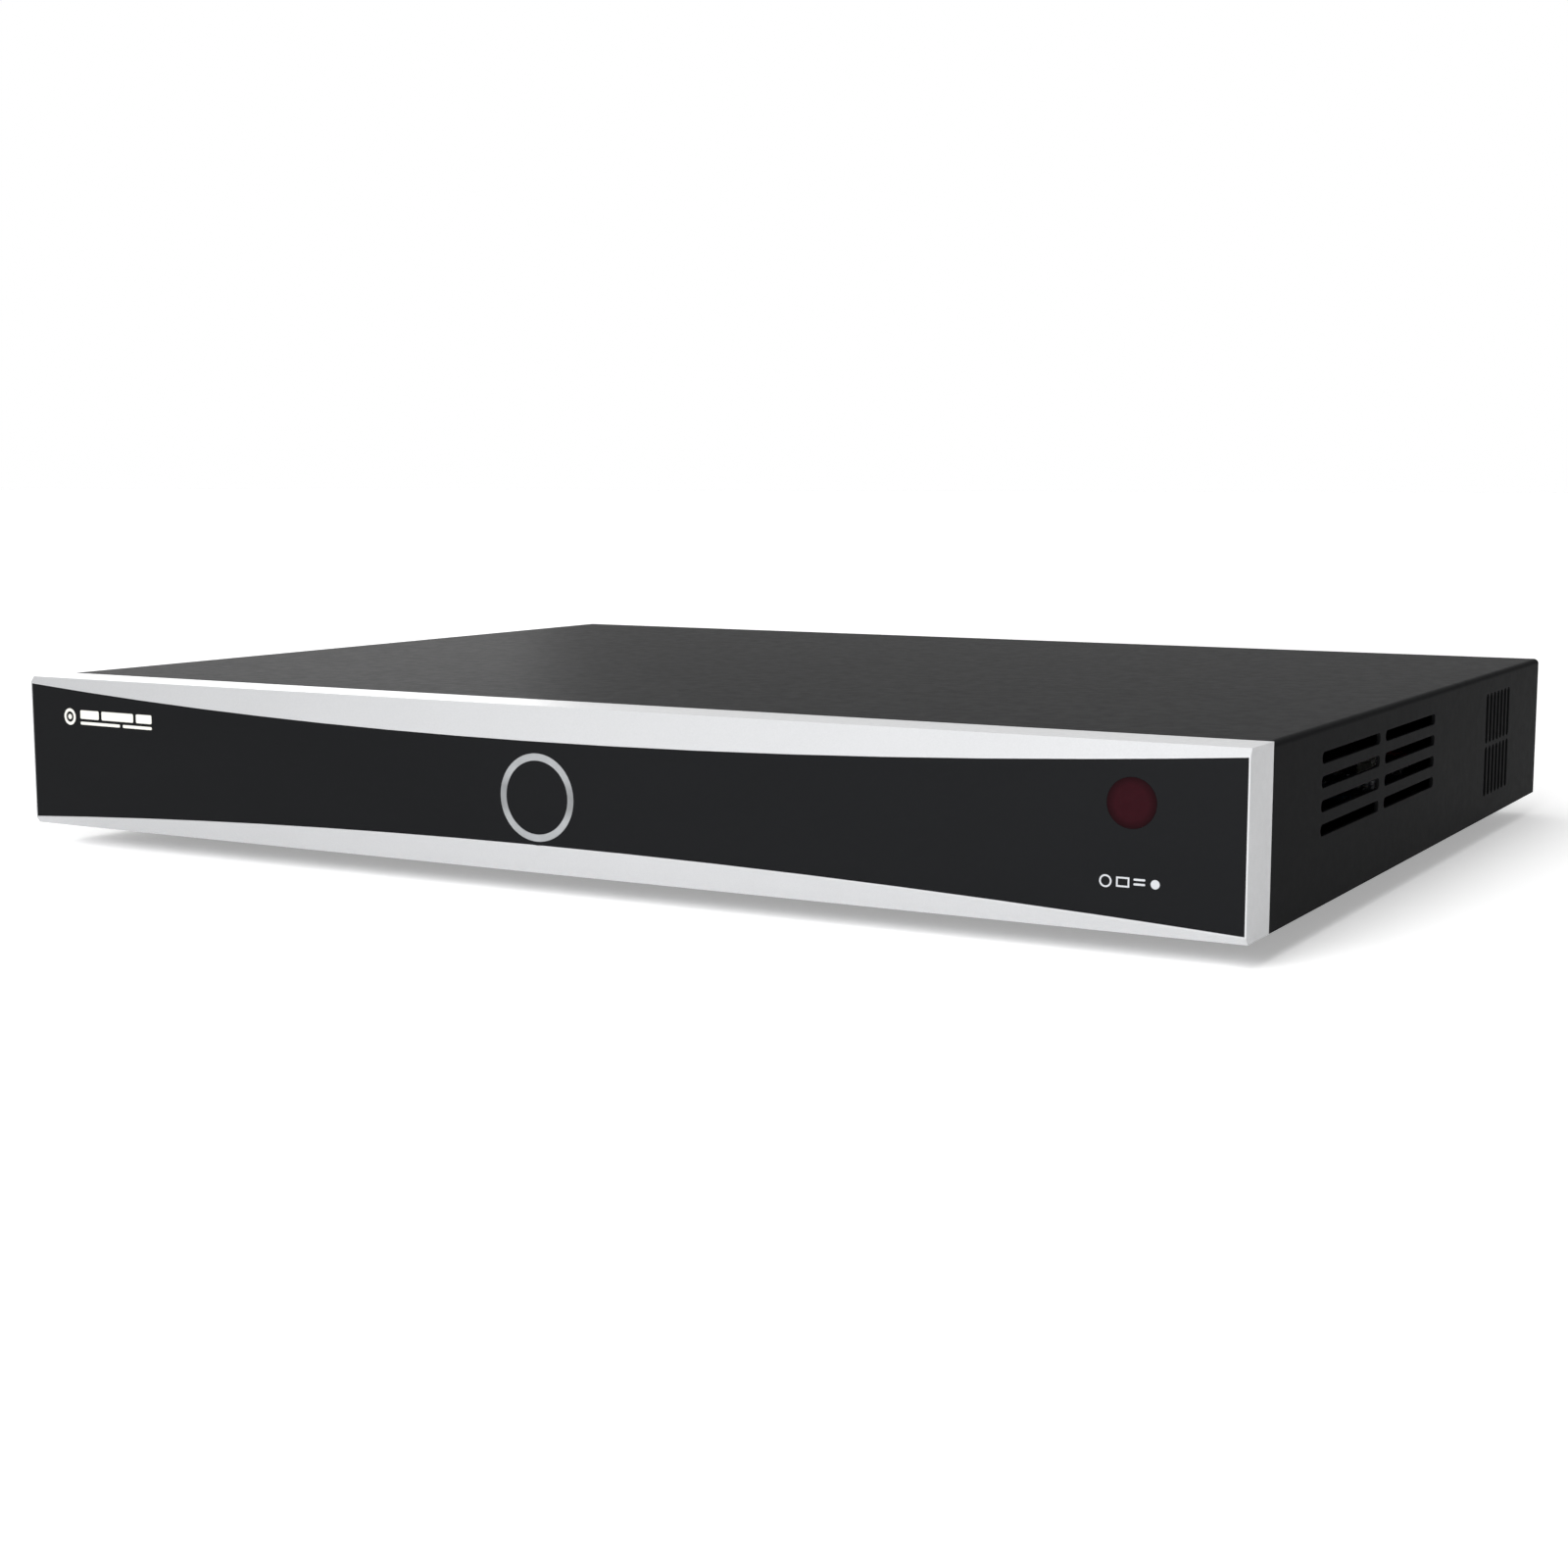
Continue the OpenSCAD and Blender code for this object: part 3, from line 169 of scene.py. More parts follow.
def moulded(name, colour, rough, grain=2600, depth=0.02 * MM, **sockets):
    """Moulded plastic or rubber: fine grain, faint cloudiness, uneven gloss."""
    look = Finish(name, **sockets)
    look.colour(look.clouded(colour, 90, 4, 0.88, 1.12))
    look.roughness(look.noise(420, 3), rough - 0.05, rough + 0.07)
    look.relief(look.noise(grain, 2), depth)
    return look.material


def plated(name, colour, rough, brushed=(900, 900, 60)):
    """Plated or bare metal: drawn lines along the axis of the smallest scale, cloudy tarnish."""
    look = Finish(name, Metallic=1.0)
    lines = look.noise(3.0, 4, look.stretched(brushed))
    look.colour(look.clouded(colour, 160, 3, 0.86, 1.08))
    look.roughness(lines, rough - 0.07, rough + 0.09)
    look.relief(lines, 0.006 * MM)
    return look.material


def powder_coat(name, colour, rough):
    """Powder coat on steel: a fine pebbled skin with scattered brighter grains."""
    look = Finish(name, Specular_IOR_Level=0.002)
    pebbles = look.calc("MULTIPLY", look.cells(1500, feature="SMOOTH_F1"), 0.7)
    grains = look.noise(3400, 2)
    bright_grains = look.spread(grains, 0.55, 0.75, 0.0, 0.5)
    look.colour(look.blend(bright_grains, look.clouded(colour, 26, 2, 0.97, 1.03), shade(colour, 1.6)))
    look.roughness(look.noise(300, 3), rough - 0.015, rough + 0.025)
    look.relief(look.calc("ADD", pebbles, look.calc("MULTIPLY", grains, 0.6)), 0.015 * MM)
    return look.material


def silver_lacquer(name, colour):
    """Silver lacquer on plastic: tiny metal flakes under a satin coat."""
    look = Finish(name, Metallic=0.35, Coat_Weight=0.25, Coat_Roughness=0.22)
    flakes = look.cells(5200, output="Color")
    glitter = look.calc("MULTIPLY", look.axis("X", flakes), 0.22)
    look.colour(look.blend(glitter, look.clouded(colour, 30, 3, 0.97, 1.02), shade(colour, 0.72)))
    look.roughness(look.noise(600, 3), 0.3, 0.4)
    look.relief(look.noise(1900, 2), 0.006 * MM)
    return look.material


def gloss_black(name, colour):
    """Smooth black panel: faint wiping haze and a little dust."""
    look = Finish(name, Specular_IOR_Level=0.03)
    haze = look.noise(14, 4, look.stretched((1.0, 1.0, 2.6)), 0.6)
    dust = look.spread(look.cells(700), 0.0, 0.05, 0.3, 0.0)
    look.colour(look.blend(dust, look.blend(haze, colour, shade(colour, 1.2)), (0.05, 0.05, 0.052)))
    look.roughness(haze, 0.16, 0.22, top=0.75)
    look.relief(look.noise(55, 2), 0.01 * MM)
    return look.material


def window_red(name, colour):
    """Infra-red window: deep red gloss plastic with a darker rim."""
    look = Finish(name, Specular_IOR_Level=0.03)
    low, high = (Vector(corner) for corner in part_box("ir_window"))
    centre = (low + high) / 2
    across = look.calc("SUBTRACT", look.axis("X"), centre.x)
    upward = look.calc("SUBTRACT", look.axis("Z"), centre.z)
    squares = look.calc("ADD", look.calc("MULTIPLY", across, across), look.calc("MULTIPLY", upward, upward))
    rim = look.spread(look.calc("SQRT", squares), 4.0 * MM, 5.8 * MM, 0.0, 1.0)
    look.colour(look.blend(rim, look.clouded(colour, 500, 3, 0.85, 1.2), shade(colour, 0.5)))
    look.roughness(look.noise(300, 3), 0.12, 0.2)
    look.relief(look.noise(200, 2), 0.004 * MM)
    return look.material


def light_guide(name, colour):
    """Unlit light guide: milky plastic, with painted shade at half its height and painted light at top and
    bottom.
    """
    look = Finish(name, Subsurface_Weight=0.1, Coat_Weight=0.3, Subsurface_Radius=(MM, MM, MM))
    low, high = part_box("status_ring")
    from_middle = look.calc("ABSOLUTE", look.calc("SUBTRACT", look.axis("Z"), (low[2] + high[2]) / 2))
    # painted light and shade: darker at half the ring's height, lighter towards its top and bottom
    painted_light_mask = look.spread(from_middle, 2.5 * MM, 5.5 * MM, 0.0, 1.0)
    painted_light_tone = look.blend(painted_light_mask, shade(colour, 0.42), colour)
    look.colour(look.blend(look.noise(320, 3), shade(colour, 0.7), painted_light_tone))
    look.roughness(look.noise(900, 2), 0.32, 0.42)
    look.relief(look.noise(2200, 2), 0.01 * MM)
    return look.material


def circuit_board(name, colour):
    """Solder mask over copper: patches of tracks in two directions, and plated holes."""
    look = Finish(name, Coat_Weight=0.35, Coat_Roughness=0.2)
    turns = 5200  # radians per metre: a track every 1.2 mm
    copper = (0.45, 0.42, 0.33)

    def wave(letter):
        return look.calc("SINE", look.calc("MULTIPLY", look.axis(letter), turns))

    zones = look.cells(55, output="Color")
    across = look.calc("GREATER_THAN", look.axis("X", zones), 0.5)
    along = look.calc("SUBTRACT", 1.0, across)
    lines = look.calc("ADD", look.calc("MULTIPLY", wave("X"), across),
                      look.calc("MULTIPLY", look.calc("MAXIMUM", wave("Y"), wave("Z")), along))
    busy = look.calc("GREATER_THAN", look.axis("Y", zones), 0.42)
    tracks = look.calc("MULTIPLY", look.spread(lines, 0.35, 0.6, 0.0, 1.0), busy)
    holes = look.spread(look.cells(420), 0.12, 0.16, 1.0, 0.0)
    masked = look.blend(tracks, colour, shade(colour, 1.9))
    look.colour(look.blend(look.calc("MULTIPLY", holes, 0.8), masked, copper))
    look.roughness(look.noise(500, 2), 0.3, 0.42)
    look.relief(look.calc("ADD", tracks, look.calc("MULTIPLY", holes, 0.5)), 0.03 * MM)
    return look.material


def cast_metal(name, colour):
    """Cast aluminium: a coarse, pitted skin."""
    look = Finish(name, Metallic=1.0)
    look.colour(look.clouded(colour, 200, 5, 0.8, 1.15))
    look.roughness(look.noise(700, 3), 0.42, 0.58)
    pits = look.calc("MULTIPLY", look.cells(900), 0.5)
    look.relief(look.calc("ADD", look.noise(1300, 4), pits), 0.06 * MM)
    return look.material


SLOTS = {
    "case_powder_coat": lambda n: powder_coat(n, (0.0105, 0.0108, 0.0113), 0.36),
    "black_screws": lambda n: plated(n, (0.05, 0.05, 0.053), 0.38),
    "silver_bezel": lambda n: silver_lacquer(n, (0.48, 0.485, 0.495)),
    "gloss_black_panel": lambda n: gloss_black(n, (0.0075, 0.0078, 0.0085)),
    "light_ring": lambda n: light_guide(n, (0.30, 0.31, 0.32)),
    "ir_window": lambda n: window_red(n, (0.018, 0.0025, 0.0045)),
    "green_board": lambda n: circuit_board(n, (0.012, 0.10, 0.04)),
    "main_board": lambda n: circuit_board(n, (0.008, 0.055, 0.10)),
    "black_moulding": lambda n: moulded(n, (0.020, 0.020, 0.022), 0.5),
    "led_white": lambda n: moulded(n, (0.8, 0.77, 0.62), 0.3, Coat_Weight=0.5),
    "ribbon_grey": lambda n: moulded(n, (0.42, 0.43, 0.45), 0.5),
    "zinc_screws": lambda n: plated(n, (0.62, 0.63, 0.66), 0.33),
    "heat_sink": lambda n: plated(n, (0.55, 0.56, 0.58), 0.42, brushed=(60, 900, 900)),
    "chip_black": lambda n: moulded(n, (0.022, 0.022, 0.024), 0.6, grain=3200),
    "capacitor_sleeve": lambda n: moulded(n, (0.02, 0.025, 0.09), 0.34, Coat_Weight=0.3),
    "inductor_ferrite": lambda n: moulded(n, (0.06, 0.06, 0.065), 0.65, grain=1500, depth=0.05 * MM),
    "cell_steel": lambda n: plated(n, (0.62, 0.62, 0.64), 0.28),
    "header_white": lambda n: moulded(n, (0.72, 0.70, 0.64), 0.45),
    "drive_casting": lambda n: cast_metal(n, (0.38, 0.39, 0.41)),
    "drive_lid": lambda n: plated(n, (0.55, 0.56, 0.58), 0.3, brushed=(40, 700, 700)),
    "cable_red": lambda n: moulded(n, (0.38, 0.012, 0.014), 0.42),
    "cable_black": lambda n: moulded(n, (0.016, 0.016, 0.017), 0.45),
    "fan_plastic": lambda n: moulded(n, (0.018, 0.018, 0.020), 0.42),
    "nickel": lambda n: plated(n, (0.66, 0.65, 0.62), 0.2, brushed=(300, 40, 300)),
    "insulator_white": lambda n: moulded(n, (0.74, 0.73, 0.68), 0.42),
    "gold_contact": lambda n: plated(n, (0.83, 0.58, 0.20), 0.22),
    "insulator_red": lambda n: moulded(n, (0.50, 0.015, 0.02), 0.35),
    "vga_blue": lambda n: moulded(n, (0.015, 0.05, 0.34), 0.42),
    "terminal_green": lambda n: moulded(n, (0.015, 0.22, 0.07), 0.42),
    "rocker_black": lambda n: moulded(n, (0.016, 0.016, 0.018), 0.28, Coat_Weight=0.2),
    "foot_rubber": lambda n: moulded(n, (0.014, 0.014, 0.014), 0.78, grain=1700, depth=0.05 * MM),
}
material = {slot: make(slot) for slot, make in SLOTS.items()}
slot_of = {entry["node"]: entry["material_slot"] for entry in frame["record"]["subparts"]}


def dress(piece, slot):
    """Gives a piece one material and no other."""
    piece.data.materials.clear()
    piece.data.materials.append(material[slot])


for node_name, node_object in frame["nodes"].items():
    dress(node_object, slot_of[node_name])


# ---------------------------------------------------------------- where the CAD solids are

def box(node):
    """Lowest and highest corner of a CAD node, in millimetres."""
    low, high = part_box(node)
    return low / MM, high / MM


def middle(node):
    """Middle of a CAD node's box, in millimetres."""
    low, high = box(node)
    return (low + high) / 2


def solids(node):
    """Boxes of a CAD node's separate solids, in millimetres, ordered along X, then Y, then Z."""
    mesh = frame["nodes"][node].data
    spots = [tuple(round(c / MM, 3) for c in vertex.co) for vertex in mesh.vertices]
    leader = {spot: spot for spot in spots}

    def chief(spot):
        while leader[spot] != spot:
            leader[spot] = leader[leader[spot]]
            spot = leader[spot]
        return spot

    for face in mesh.polygons:
        first = chief(spots[face.vertices[0]])
        for index in face.vertices[1:]:
            leader[chief(spots[index])] = first
    groups = {}
    for spot in leader:
        groups.setdefault(chief(spot), []).append(spot)
    boxes = [(Vector(map(min, zip(*group))), Vector(map(max, zip(*group))))
             for group in groups.values()]
    return sorted(boxes, key=lambda pair: tuple(round(c, 1) for c in pair[0]))


# ---------------------------------------------------------------- outlines, places and solids

FRONT, REAR = -1, 1
INK = 0.05  # a print stands this proud of its surface, and reaches as deep into it


def square(width, height):
    """Plain rectangle; its argument draws it in."""
    def outline(inset):
        u, v = width / 2 - inset, height / 2 - inset
        return [(u, v), (-u, v), (-u, -v), (u, -v)]
    return outline


def rounded(width, height, radius, steps=3):
    """Rounded rectangle; its argument draws it in."""
    least_radius = 0.02

    def outline(inset):
        reach = max(radius - inset, least_radius)
        half_u, half_v = width / 2 - inset - reach, height / 2 - inset - reach
        points = []
        for corner, (side_u, side_v) in enumerate(((1, 1), (-1, 1), (-1, -1), (1, -1))):
            for step in range(steps + 1):
                turn = math.radians(90 * (corner + step / steps))
                u = side_u * half_u + reach * math.cos(turn)
                v = side_v * half_v + reach * math.sin(turn)
                points.append((u, v))
        return points
    return outline


def disc(radius, sides=32):
    """Circle; its argument draws it in."""
    def outline(inset):
        turns = [math.tau * i / sides for i in range(sides)]
        return [((radius - inset) * math.cos(t), (radius - inset) * math.sin(t)) for t in turns]
    return outline


def ribbed(width, thick, ribs):
    """Cross-section of a flat cable: one rib for each wire, just over half as thick between ribs."""
    steps = ribs * 4
    top = []
    for i in range(steps + 1):
        swell = 0.78 + 0.22 * math.cos(math.tau * ribs * i / steps)
        top.append((width * (i / steps - 0.5), thick / 2 * swell))
    return top[::-1] + [(u, -v) for u, v in top]


def lying(x, y, z):
    """Places an outline flat, growing upwards."""
    return lambda u, v, w: (x + u, y + v, z + w)


def facing_rear(x, y, z):
    """Places an outline upright, growing to the rear."""
    return lambda u, v, w: (x + u, y + w, z + v)


def facing_left(x, y, z):
    """Places an outline upright, growing to the left."""
    return lambda u, v, w: (x - w, y + u, z + v)


@functools.cache
def surface(node):
    """A CAD node's surface, to cast rays on."""
    mesh = frame["nodes"][node].data
    return BVHTree.FromPolygons([v.co for v in mesh.vertices], [f.vertices for f in mesh.polygons])


def printed_on(node, x, z, side):
    """Places an outline on a CAD node's front or rear, following its surface; rays start a metre away."""
    def place(u, v, w):
        spot = Vector(((x + u) * MM, side, (z + v) * MM))
        hit = surface(node).ray_cast(spot, Vector((0, -side, 0)))[0]
        return x + u, hit.y / MM + side * w, z + v
    return place


def way(corners, radius, steps=6):
    """A path through corner points, rounded at every inner one, with no two points in one place."""
    least_step = 0.01
    corners = [Vector(corner) for corner in corners]
    points = [corners[0]]
    for before, corner, after in zip(corners, corners[1:], corners[2:]):
        start = corner + (before - corner).normalized() * min(radius, (before - corner).length / 2)
        end = corner + (after - corner).normalized() * min(radius, (after - corner).length / 2)
        for step in range(steps + 1):
            t = step / steps
            points.append(start * (1 - t) ** 2 + corner * 2 * t * (1 - t) + end * t ** 2)
    points.append(corners[-1])
    return [p for p, q in zip(points, points[1:]) if (p - q).length > least_step] + [points[-1]]


class Build:
    """Collects closed solids, in millimetres, in one mesh, and makes it a piece on a CAD body."""

    def __init__(self):
        self.mesh = bmesh.new()

    def ring(self, points):
        """New vertices at the points."""
        return [self.mesh.verts.new(Vector(point) * MM) for point in points]

    def skin(self, first, second):
        """Faces between two equal rings of vertices."""
        for i, vertex in enumerate(first):
            j = (i + 1) % len(first)
            self.mesh.faces.new((vertex, first[j], second[j], second[i]))

    def loft(self, rings):
        """Skins equal rings of points and closes both ends."""
        loops = [self.ring(points) for points in rings]
        for first, second in zip(loops, loops[1:]):
            self.skin(first, second)
        self.mesh.faces.new(loops[0][::-1])
        self.mesh.faces.new(loops[-1])

    def grow(self, place, outline, levels):
        """Skins one outline at several levels, each given as (height, inset)."""
        self.loft([[place(u, v, level) for u, v in outline(inset)] for level, inset in levels])

    def slab(self, place, outline, height, edge):
        """An outline with height and softened edges at its foot and its top."""
        self.grow(place, outline, ((0, edge), (edge, 0), (height - edge, 0), (height, edge)))

    def stamp(self, place, outline, ink=INK):
        """A thin print on a surface."""
        self.grow(place, outline, ((-ink, 0), (ink * 0.8, 0), (ink, 0.01)))

    def hoop(self, place, outer, inner, ink=INK, sides=48):
        """A thin printed ring."""
        rims = []
        for radius, level in ((outer, -ink), (outer, ink), (inner, ink), (inner, -ink)):
            rims.append(self.ring([place(u, v, level) for u, v in disc(radius, sides)(0)]))
        for first, second in zip(rims, rims[1:] + rims[:1]):
            self.skin(first, second)

    def sweep(self, path, section, across):
        """Draws a cross-section along a path; across is the direction of its width at the start."""
        side = Vector(across)
        rings = []
        previous = None
        for i, point in enumerate(path):
            ahead = (path[min(i + 1, len(path) - 1)] - path[max(i - 1, 0)]).normalized()
            if previous is not None:
                side = previous.rotation_difference(ahead) @ side
            lift = ahead.cross(side).normalized()
            rings.append([point + side * u + lift * v for u, v in section])
            previous = ahead
        self.loft(rings)

    def piece(self, name, slot, body="chassis", replaces=()):
        """Ends the mesh and makes it one piece; edges over 40 degrees stay sharp."""
        bmesh.ops.recalc_face_normals(self.mesh, faces=self.mesh.faces)
        mesh = bpy.data.meshes.new(name)
        self.mesh.to_mesh(mesh)
        self.mesh.free()
        mesh.polygons.foreach_set("use_smooth", [True] * len(mesh.polygons))
        mesh.set_sharp_from_angle(angle=math.radians(40))
        made = bpy.data.objects.new(name, mesh)
        bpy.context.collection.objects.link(made)
        dress(made, slot)
        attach(made, body)
        if replaces:
            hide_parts(*replaces)


# ---------------------------------------------------------------- printed marks

def framed(ink, node, x, z, side, width, height, line):
    """Prints the outline of a rectangle."""
    for end in (-1, 1):
        level_bar = printed_on(node, x, z + end * (height - line) / 2, side)
        ink.stamp(level_bar, square(width, line))
        upright_bar = printed_on(node, x + end * (width - line) / 2, z, side)
        ink.stamp(upright_bar, square(line, height - 2 * line))


def front_marks():
    """A lens sign with two rows of bars at the panel's top left, and four signs at its lower right."""
    low, high = box("front_panel")
    ink = Build()
    x, z = low.x + 16.5, high.z - 9.2
    lens = printed_on("front_panel", x, z, FRONT)
    ink.hoop(lens, 2.5, 1.6)
    ink.stamp(lens, disc(0.8, 20))
    words = ((4.6, 8.0), (13.8, 13.5), (28.5, 6.5))
    underlines = ((4.6, 17.0), (22.8, 12.2))
    for row, height, lift in ((words, 2.6, 0.9), (underlines, 0.9, -1.7)):
        for left, width in row:
            bar = printed_on("front_panel", x + left + width / 2, z + lift, FRONT)
            ink.stamp(bar, rounded(width, height, 0.4))
    ink.piece("front_mark", "insulator_white")

    signs = Build()
    x, z = high.x - 33.0, low.z + 10.3
    signs.hoop(printed_on("front_panel", x, z, FRONT), 1.5, 1.1)
    framed(signs, "front_panel", x + 4.2, z, FRONT, 3.2, 2.4, 0.4)
    for lift in (0.8, -0.3):
        signs.stamp(printed_on("front_panel", x + 8.2, z + lift, FRONT), rounded(2.8, 0.5, 0.2))
    signs.stamp(printed_on("front_panel", x + 12.0, z, FRONT), disc(1.1, 20))
    signs.piece("front_signs", "ribbon_grey")


def rear_marks():
    """Plain signs on the rear wall beside the sockets, and a ring and a bar on the rocker."""
    ink = Build()
    line = 0.5

    def on_wall(x, z):
        return printed_on("base_chassis", x, z, REAR)

    def bar(x, z, width, height):
        ink.stamp(on_wall(x, z), square(width, height))

    # a bracket round each block of round sockets
    reach = 11
    for node, gap in (("bnc_housing", 1.2), ("rca_housing", 1.0)):
        low, high = box(node)
        centre = (low.z + high.z) / 2
        for x, inward in ((low.x - gap, 1), (high.x + gap, -1)):
            bar(x, centre, line, 2 * reach)
            for z in (centre - reach, centre + reach):
                bar(x + inward, z, 2.0 + line, line)
    # a monitor on its foot, and a wide screen; heights are above the table
    monitor = middle("vga_shell").x
    framed(ink, "base_chassis", monitor, 35.5, REAR, 7, 4.6, line)
    bar(monitor, 32.4, 0.6, 1.2)
    bar(monitor, 31.6, 4, line)
    screen = middle("hdmi_shell").x
    framed(ink, "base_chassis", screen, 29, REAR, 6, 3.6, line)
    bar(screen, 26.2, 3, line)
    # the end of a USB plug
    plug = middle("usb_shell").x
    framed(ink, "base_chassis", plug, 35.5, REAR, 5, 3.4, line)
    for shift in (-1, 1):
        bar(plug + shift, 35.5, 0.8, 0.8)
    # three linked computers
    network = middle("lan_jack").x
    bar(network, 37.2, 2.2, 1.6)
    bar(network, 35.5, line, 1.8)
    bar(network, 34.6, 5 + line, line)
    for shift in (-2.5, 2.5):
        bar(network + shift, 33.9, line, 1.0)
        bar(network + shift, 32.9, 2.2, 1.6)
    # a dot over each terminal
    for low, high in solids("terminal_screws"):
        ink.stamp(on_wall((low.x + high.x) / 2, 31), disc(0.6, 16))
    # direct current
    supply = middle("dc_jack").x
    bar(supply, 31, 6, 0.6)
    for shift in (-2.2, 0, 2.2):
        bar(supply + shift, 29.6, 1.6, 0.6)
    # earth
    earth = box("base_chassis")[0].x + 7.1
    bar(earth, 26.6, line, 2.4)
    for width, z in ((4.4, 25.2), (3.0, 24.2), (1.6, 23.2)):
        bar(earth, z, width, line)
    ink.piece("rear_signs", "insulator_white")

    rocker = Build()
    centre = middle("switch_rocker")
    rocker.hoop(printed_on("switch_rocker", centre.x + 4, centre.z, REAR), 1.7, 1.25)
    rocker.stamp(printed_on("switch_rocker", centre.x - 4, centre.z, REAR), square(0.5, 3.4))
    rocker.piece("rocker_signs", "insulator_white", "rocker")


# ---------------------------------------------------------------- cables

MOULDED_PLUG = ((0, 0.4), (0.4, 0), (5.4, 0), (5.9, 0.9), (7.9, 1.1), (8.3, 1.5))
PLUG_LENGTH = MOULDED_PLUG[-1][0]
POWER_PLUG_WIDTH = 13
POWER_WIRES = ("cable_red", "cable_black", "cable_red", "cable_black", "cable_black")


def power_centres():
    """X of the two power cables, from the outer ends of their plugs."""
    low, high = box("drive_power_cables")
    return round(low.x + POWER_PLUG_WIDTH / 2, 1), round(high.x - POWER_PLUG_WIDTH / 2, 1)


def drive_cables():
    """Flat data cables and five-wire power cables from each drive over to the main board."""
    socket_top = box("sata_sockets")[1].z
    cable_low, cable_high = box("drive_data_cables")
    start_y, top = cable_low.y, cable_high.z - 0.8
    down_y = middle("sata_sockets").y
    up_y = down_y - 10
    bend = 5.0
    rise = 0.5  # the cables leave the plugs this much above their middle

    def route(x, z, crown):
        """From a plug on a drive, up, over and down into a plug on the board."""
        return way([(x, start_y + PLUG_LENGTH - 1, z), (x, up_y, z), (x, up_y, crown), (x, down_y, crown),
                    (x, down_y, socket_top + 7.5)], bend)

    plugs = Build()
    straps = Build()
    for low, high in solids("drive_data_cables"):
        x, z = (low.x + high.x) / 2, low.z + 3
        plugs.grow(facing_rear(x, start_y, z), rounded(12, 6, 0.6), MOULDED_PLUG)
        plugs.slab(lying(x, start_y + 2.6, z + 2.9), rounded(4, 3.6, 0.3), 0.9, 0.2)
        plugs.grow(lying(x, down_y, socket_top), rounded(11, 5, 0.6), MOULDED_PLUG)
        plugs.slab(facing_rear(x, down_y - 3.2, socket_top + 3), rounded(4, 3.4, 0.3), 0.9, 0.2)
        straps.sweep(route(x, z + rise, top), ribbed(8, 1.6, 4), (1, 0, 0))
    straps.piece("data_straps", "cable_red", replaces=("drive_data_cables",))
    plugs.piece("data_plugs", "black_moulding", replaces=("drive_data_cables",))

    plugs = Build()
    wires = {"cable_black": Build(), "cable_red": Build()}
    pitch, wire_radius = 2.0, 0.8
    z = cable_low.z + 3
    for x in power_centres():
        plugs.grow(facing_rear(x, start_y, z), rounded(POWER_PLUG_WIDTH, 6, 0.6), MOULDED_PLUG)
        plugs.grow(lying(x, down_y, socket_top), rounded(12, 5, 0.6), MOULDED_PLUG)
        for i, slot in enumerate(POWER_WIRES):
            unevenness = 0.5 * math.sin(2.4 * i + x)
            path = route(x + (i - 2) * pitch, z + rise, top - 0.5 + unevenness)
            wires[slot].sweep(path, disc(wire_radius, 12)(0), (1, 0, 0))
    for slot, build in wires.items():
        colour = slot.removeprefix("cable_")
        build.piece("power_wires_" + colour, slot, replaces=("drive_power_cables",))
    plugs.piece("power_plugs", "black_moulding", replaces=("drive_power_cables",))


def ribbon():
    """The ribbed flat cable from the front board under the drives to the main board."""
    low, high = box("front_ribbon")
    board_top = box("main_board")[1].z
    start_z = box("front_board")[0].z + 8
    thick = 0.8
    x = (low.x + high.x) / 2
    drop_y = low.y + 2.6
    down_y = high.y - thick / 2
    up_y = down_y - 10
    floor_z, crown_z = low.z + thick / 2, high.z - thick / 2
    path = way([(x, low.y - 0.5, start_z), (x, drop_y, start_z), (x, drop_y, floor_z), (x, up_y, floor_z),
                (x, up_y, crown_z), (x, down_y, crown_z), (x, down_y, board_top + 11)], 4.5)
    cable = Build()
    cable.sweep(path, ribbed(16, thick, 16), (1, 0, 0))
    cable.piece("ribbon_cable", "ribbon_grey", replaces=("front_ribbon",))
    plugs = Build()
    plugs.slab(lying(x, down_y, board_top + 8), rounded(19, 4.8, 0.5), 4.2, 0.3)
    plugs.slab(lying(x, down_y, board_top + 12.2), rounded(17.5, 3.4, 0.5), 1.2, 0.3)
    plugs.slab(facing_rear(x, low.y - 0.3, start_z), rounded(17.5, 4.6, 0.5), 1.9, 0.3)
    plugs.piece("ribbon_plugs", "black_moulding", replaces=("front_ribbon",))


def leads():
    """Two-wire leads of the fan and of the switch."""
    low, high = box("fan_lead")
    radius = 0.7
    header_x, top = low.x + radius, high.z - radius
    for y, slot in ((low.y + radius, "cable_red"), (high.y - radius, "cable_black")):
        wire = Build()
        path = way([(header_x, y, low.z + 0.5), (header_x, y, top), (high.x + 0.6, y, top)], 2.4)
        wire.sweep(path, disc(radius, 12)(0), (0, 1, 0))
        wire.piece("fan_wire_" + slot.removeprefix("cable_"), slot, replaces=("fan_lead",))
    plug = Build()
    plug.slab(lying(header_x, (low.y + high.y) / 2, low.z), rounded(4.2, 6.6, 0.4), 1.6, 0.3)
    plug.piece("fan_plug", "header_white", replaces=("fan_lead",))

    low, high = box("switch_leads")
    radius = 0.8
    end_x = high.x - radius
    wires, sleeves = Build(), Build()
    for tab_low, tab_high in solids("switch_leads"):
        x, y, z = tab_low.x + radius, tab_low.y + radius, tab_high.z - 2
        path = way([(x, high.y - 1, z), (x, y, z), (end_x, y, z), (end_x, y, low.z)], 3.0)
        wires.sweep(path, disc(radius, 12)(0), (0, 0, 1))
        sleeves.grow(facing_rear(x, high.y - 8, z), rounded(2.2, 5.2, 0.8),
                     ((0, 0.6), (1.2, 0.1), (7.4, 0), (7.8, 0.3)))
    wires.piece("switch_wires", "cable_black", replaces=("switch_leads",))
    sleeves.slab(lying(end_x, (low.y + high.y) / 2 - 3.6, low.z), rounded(4.2, 6.8, 0.4), 1.6, 0.3)
    sleeves.piece("switch_sleeves", "header_white", replaces=("switch_leads",))


# ---------------------------------------------------------------- boards

